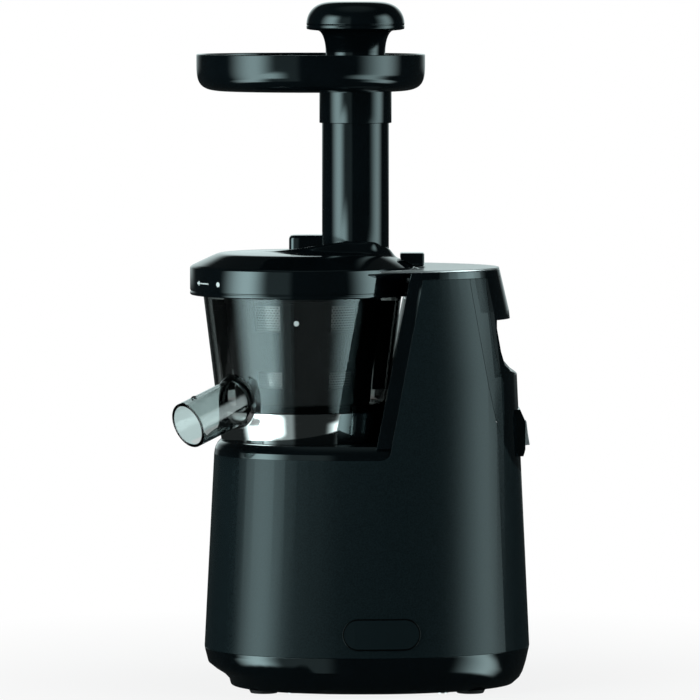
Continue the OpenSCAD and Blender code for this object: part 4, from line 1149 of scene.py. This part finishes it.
# ---- Studio ----
LEFT_PANEL = 6.4
RIGHT_PANEL = 4.2
WALL = 0.95
OVERHEAD = 0.15
ROOM = 0.02
ROOM_LIGHT = "#ecffff"
# the camera stands level with the chute, squarely at the near side, and looks a little down
CAMERA_AT = Vector((-0.0103, -3.6, 0.430))
CAMERA_AIM = Vector((-0.0103, 0.0, 0.204))
CAMERA_SEES = 0.4235
SENSOR = 36.0
FLOOR_R = 1.1 / MM


# The light of the studio as a table: each row has its name, its kind and what it works on, where a
# name is an earlier row. A smooth row climbs from 0 to 1, or between its last two numbers, as its
# first input goes from one angle in degrees to the other.
STUDIO = [
    # degrees round from the camera's side, rear positive, and degrees above the horizon
    ("near", "MULTIPLY", "Y", -1.0),
    ("around", "ARCTAN2", "X", "near"),
    ("azimuth", "DEGREES", "around"),
    ("aside", "ABSOLUTE", "azimuth"),
    ("up", "ARCSINE", "Z"),
    ("height", "DEGREES", "up"),
    # the panels stand wider apart for what faces down to the table, and the right one also shows
    # further round in what leans down a little, such as the bowl
    ("widen", "smooth", "height", -22, -28, 0.0, 8.0),
    ("leans", "smooth", "height", -9, -14, 0.0, 14.0),
    ("leans_most", "smooth", "height", -26, -21),
    ("nearer", "MULTIPLY", "leans", "leans_most"),
    ("left_at", "ADD", "azimuth", "widen"),
    ("right_from", "SUBTRACT", "azimuth", "widen"),
    ("right_at", "ADD", "right_from", "nearer"),
    # the left panel fades slowly towards the camera; a card under it fills in low down
    ("left_rear", "smooth", "left_at", -94, -60),
    ("left_fore", "smooth", "left_at", -58, -34, 1.0, 0.05),
    ("left_panel", "MULTIPLY", "left_rear", "left_fore"),
    ("card_rear", "smooth", "azimuth", -92, -56),
    ("card_fore", "smooth", "azimuth", -42, -18, 1.0, 0.0),
    ("card_wide", "MULTIPLY", "card_rear", "card_fore"),
    ("card_low", "smooth", "height", -25, -20),
    ("card_high", "smooth", "height", -4, -11),
    ("card_tall", "MULTIPLY", "card_low", "card_high"),
    ("card", "MULTIPLY", "card_wide", "card_tall"),
    ("left_both", "MAXIMUM", "left_panel", "card"),
    ("left_end", "smooth", "azimuth", -8, -16),
    ("left", "MULTIPLY", "left_both", "left_end"),
    ("right_fore", "smooth", "right_at", 46, 80),
    ("right_rear", "smooth", "right_at", 106, 80),
    ("right", "MULTIPLY", "right_fore", "right_rear"),
    ("left_lit", "MULTIPLY", "left", LEFT_PANEL),
    ("right_lit", "MULTIPLY", "right", RIGHT_PANEL),
    ("both", "ADD", "left_lit", "right_lit"),
    ("panels_low", "smooth", "height", -40, -34),
    ("panels_high", "smooth", "height", 44, 24),
    ("tall", "MULTIPLY", "panels_low", "panels_high"),
    ("panels", "MULTIPLY", "both", "tall"),
    # the white wall behind, the light from above and the dim room
    ("wall_edge", "smooth", "aside", 140, 172),
    ("wall_high", "smooth", "height", 26, 14),
    ("wall_flat", "MULTIPLY", "wall_edge", "wall_high"),
    ("wall_low", "smooth", "height", -4, 2, 0.0, WALL),
    ("wall", "MULTIPLY", "wall_flat", "wall_low"),
    ("zenith", "smooth", "height", 55, 80),
    ("above", "MULTIPLY", "zenith", OVERHEAD),
    ("beside", "ADD", "panels", "wall"),
    ("room", "ADD", "above", ROOM),
    ("light", "ADD", "beside", "room"),
    # through clear plastic the wall behind is as white as the camera sees it
    ("straight_behind", "smooth", "aside", 158, 168),
    ("behind", "MULTIPLY", "straight_behind", "Is Transmission Ray"),
    ("strength", "MAXIMUM", "light", "behind"),
]


def studio_world():
    """Even studio light as a function of direction: two tall soft panels left and right of the
    camera, a white wall behind, a dim room elsewhere and a little light from above. The camera
    sees white."""
    world = bpy.data.worlds.new("studio")
    world.use_nodes = True
    tree = world.node_tree
    tree.nodes.clear()
    new = partial(add, tree)
    ray = new("LightPath")
    axes = new("SeparateXYZ", [new("TexCoord").outputs["Generated"]])
    made = {output.name: output for output in (*axes.outputs, *ray.outputs)}
    for name, kind, *inputs in STUDIO:
        inputs = [made.get(value, value) for value in inputs]
        if kind == "smooth":
            made[name] = new("MapRange", inputs, interpolation_type="SMOOTHSTEP")
        else:
            made[name] = new("Math", inputs, operation=kind)
    lit = new("Background", {"Color": linear(ROOM_LIGHT), "Strength": made["strength"]})
    white = new("Background", {"Color": (1, 1, 1, 1), "Strength": 1.0})
    seen = new("MixShader", [made["Is Camera Ray"], lit, white])
    new("OutputWorld", [seen])
    return world


class JUICER_OT_stage(bpy.types.Operator):
    """Set up the pale floor, the studio light and the camera"""

    bl_idname = "juicer.stage"
    bl_label = "Stage"

    def execute(self, context):
        scene = context.scene
        disc = turned([(0.0, 0.0), (FLOOR_R, 0.0)], 0.0, 96)
        floor = skin("table", [(disc, *DOME)])
        coat(floor, "matt_white_paper")
        floor.visible_glossy = False
        scene.world = studio_world()
        lens = bpy.data.cameras.new("camera")
        lens.sensor_width = SENSOR
        lens.lens = SENSOR * (CAMERA_AIM - CAMERA_AT).length / CAMERA_SEES
        camera = bpy.data.objects.new("camera", lens)
        camera.location = CAMERA_AT
        camera.rotation_euler = (CAMERA_AIM - CAMERA_AT).to_track_quat("-Z", "Y").to_euler()
        scene.collection.objects.link(camera)
        scene.camera = camera
        scene.view_settings.view_transform = "Standard"
        return {"FINISHED"}


# ---- Add-on ----
OPERATORS = [
    JUICER_OT_stage, JUICER_OT_housing, JUICER_OT_switch, JUICER_OT_drive, JUICER_OT_bowl,
    JUICER_OT_strainer, JUICER_OT_auger, JUICER_OT_lid, JUICER_OT_chute_and_tray,
    JUICER_OT_pusher,
]


class JUICER_PT_panel(bpy.types.Panel):
    """Lists the juicer's sizes, its colours and its pieces"""

    bl_idname = "JUICER_PT_panel"
    bl_label = "Juicer"
    bl_space_type = "VIEW_3D"
    bl_region_type = "UI"
    bl_category = "Juicer"

    def draw(self, context):
        for settings in (context.scene.juicer_sizes, context.scene.juicer_looks):
            for name in settings.bl_rna.properties.keys():
                if name not in ("name", "rna_type"):
                    self.layout.prop(settings, name)
        for operator in OPERATORS:
            self.layout.operator(operator.bl_idname)


CLASSES = [JuicerLooks, JuicerSizes, *OPERATORS, JUICER_PT_panel]


def register():
    """Registers the classes and hangs the user's sizes and colours on the scene."""
    for each in CLASSES:
        bpy.utils.register_class(each)
    bpy.types.Scene.juicer_looks = PointerProperty(type=JuicerLooks)
    bpy.types.Scene.juicer_sizes = PointerProperty(type=JuicerSizes)


def unregister():
    """Takes away what register made."""
    del bpy.types.Scene.juicer_sizes
    del bpy.types.Scene.juicer_looks
    for each in reversed(CLASSES):
        bpy.utils.unregister_class(each)


def main():
    """Builds the stage and every piece in order."""
    register()
    for operator in OPERATORS:
        group, name = operator.bl_idname.split(".")
        getattr(getattr(bpy.ops, group), name)()


if __name__ == "__main__":
    main()
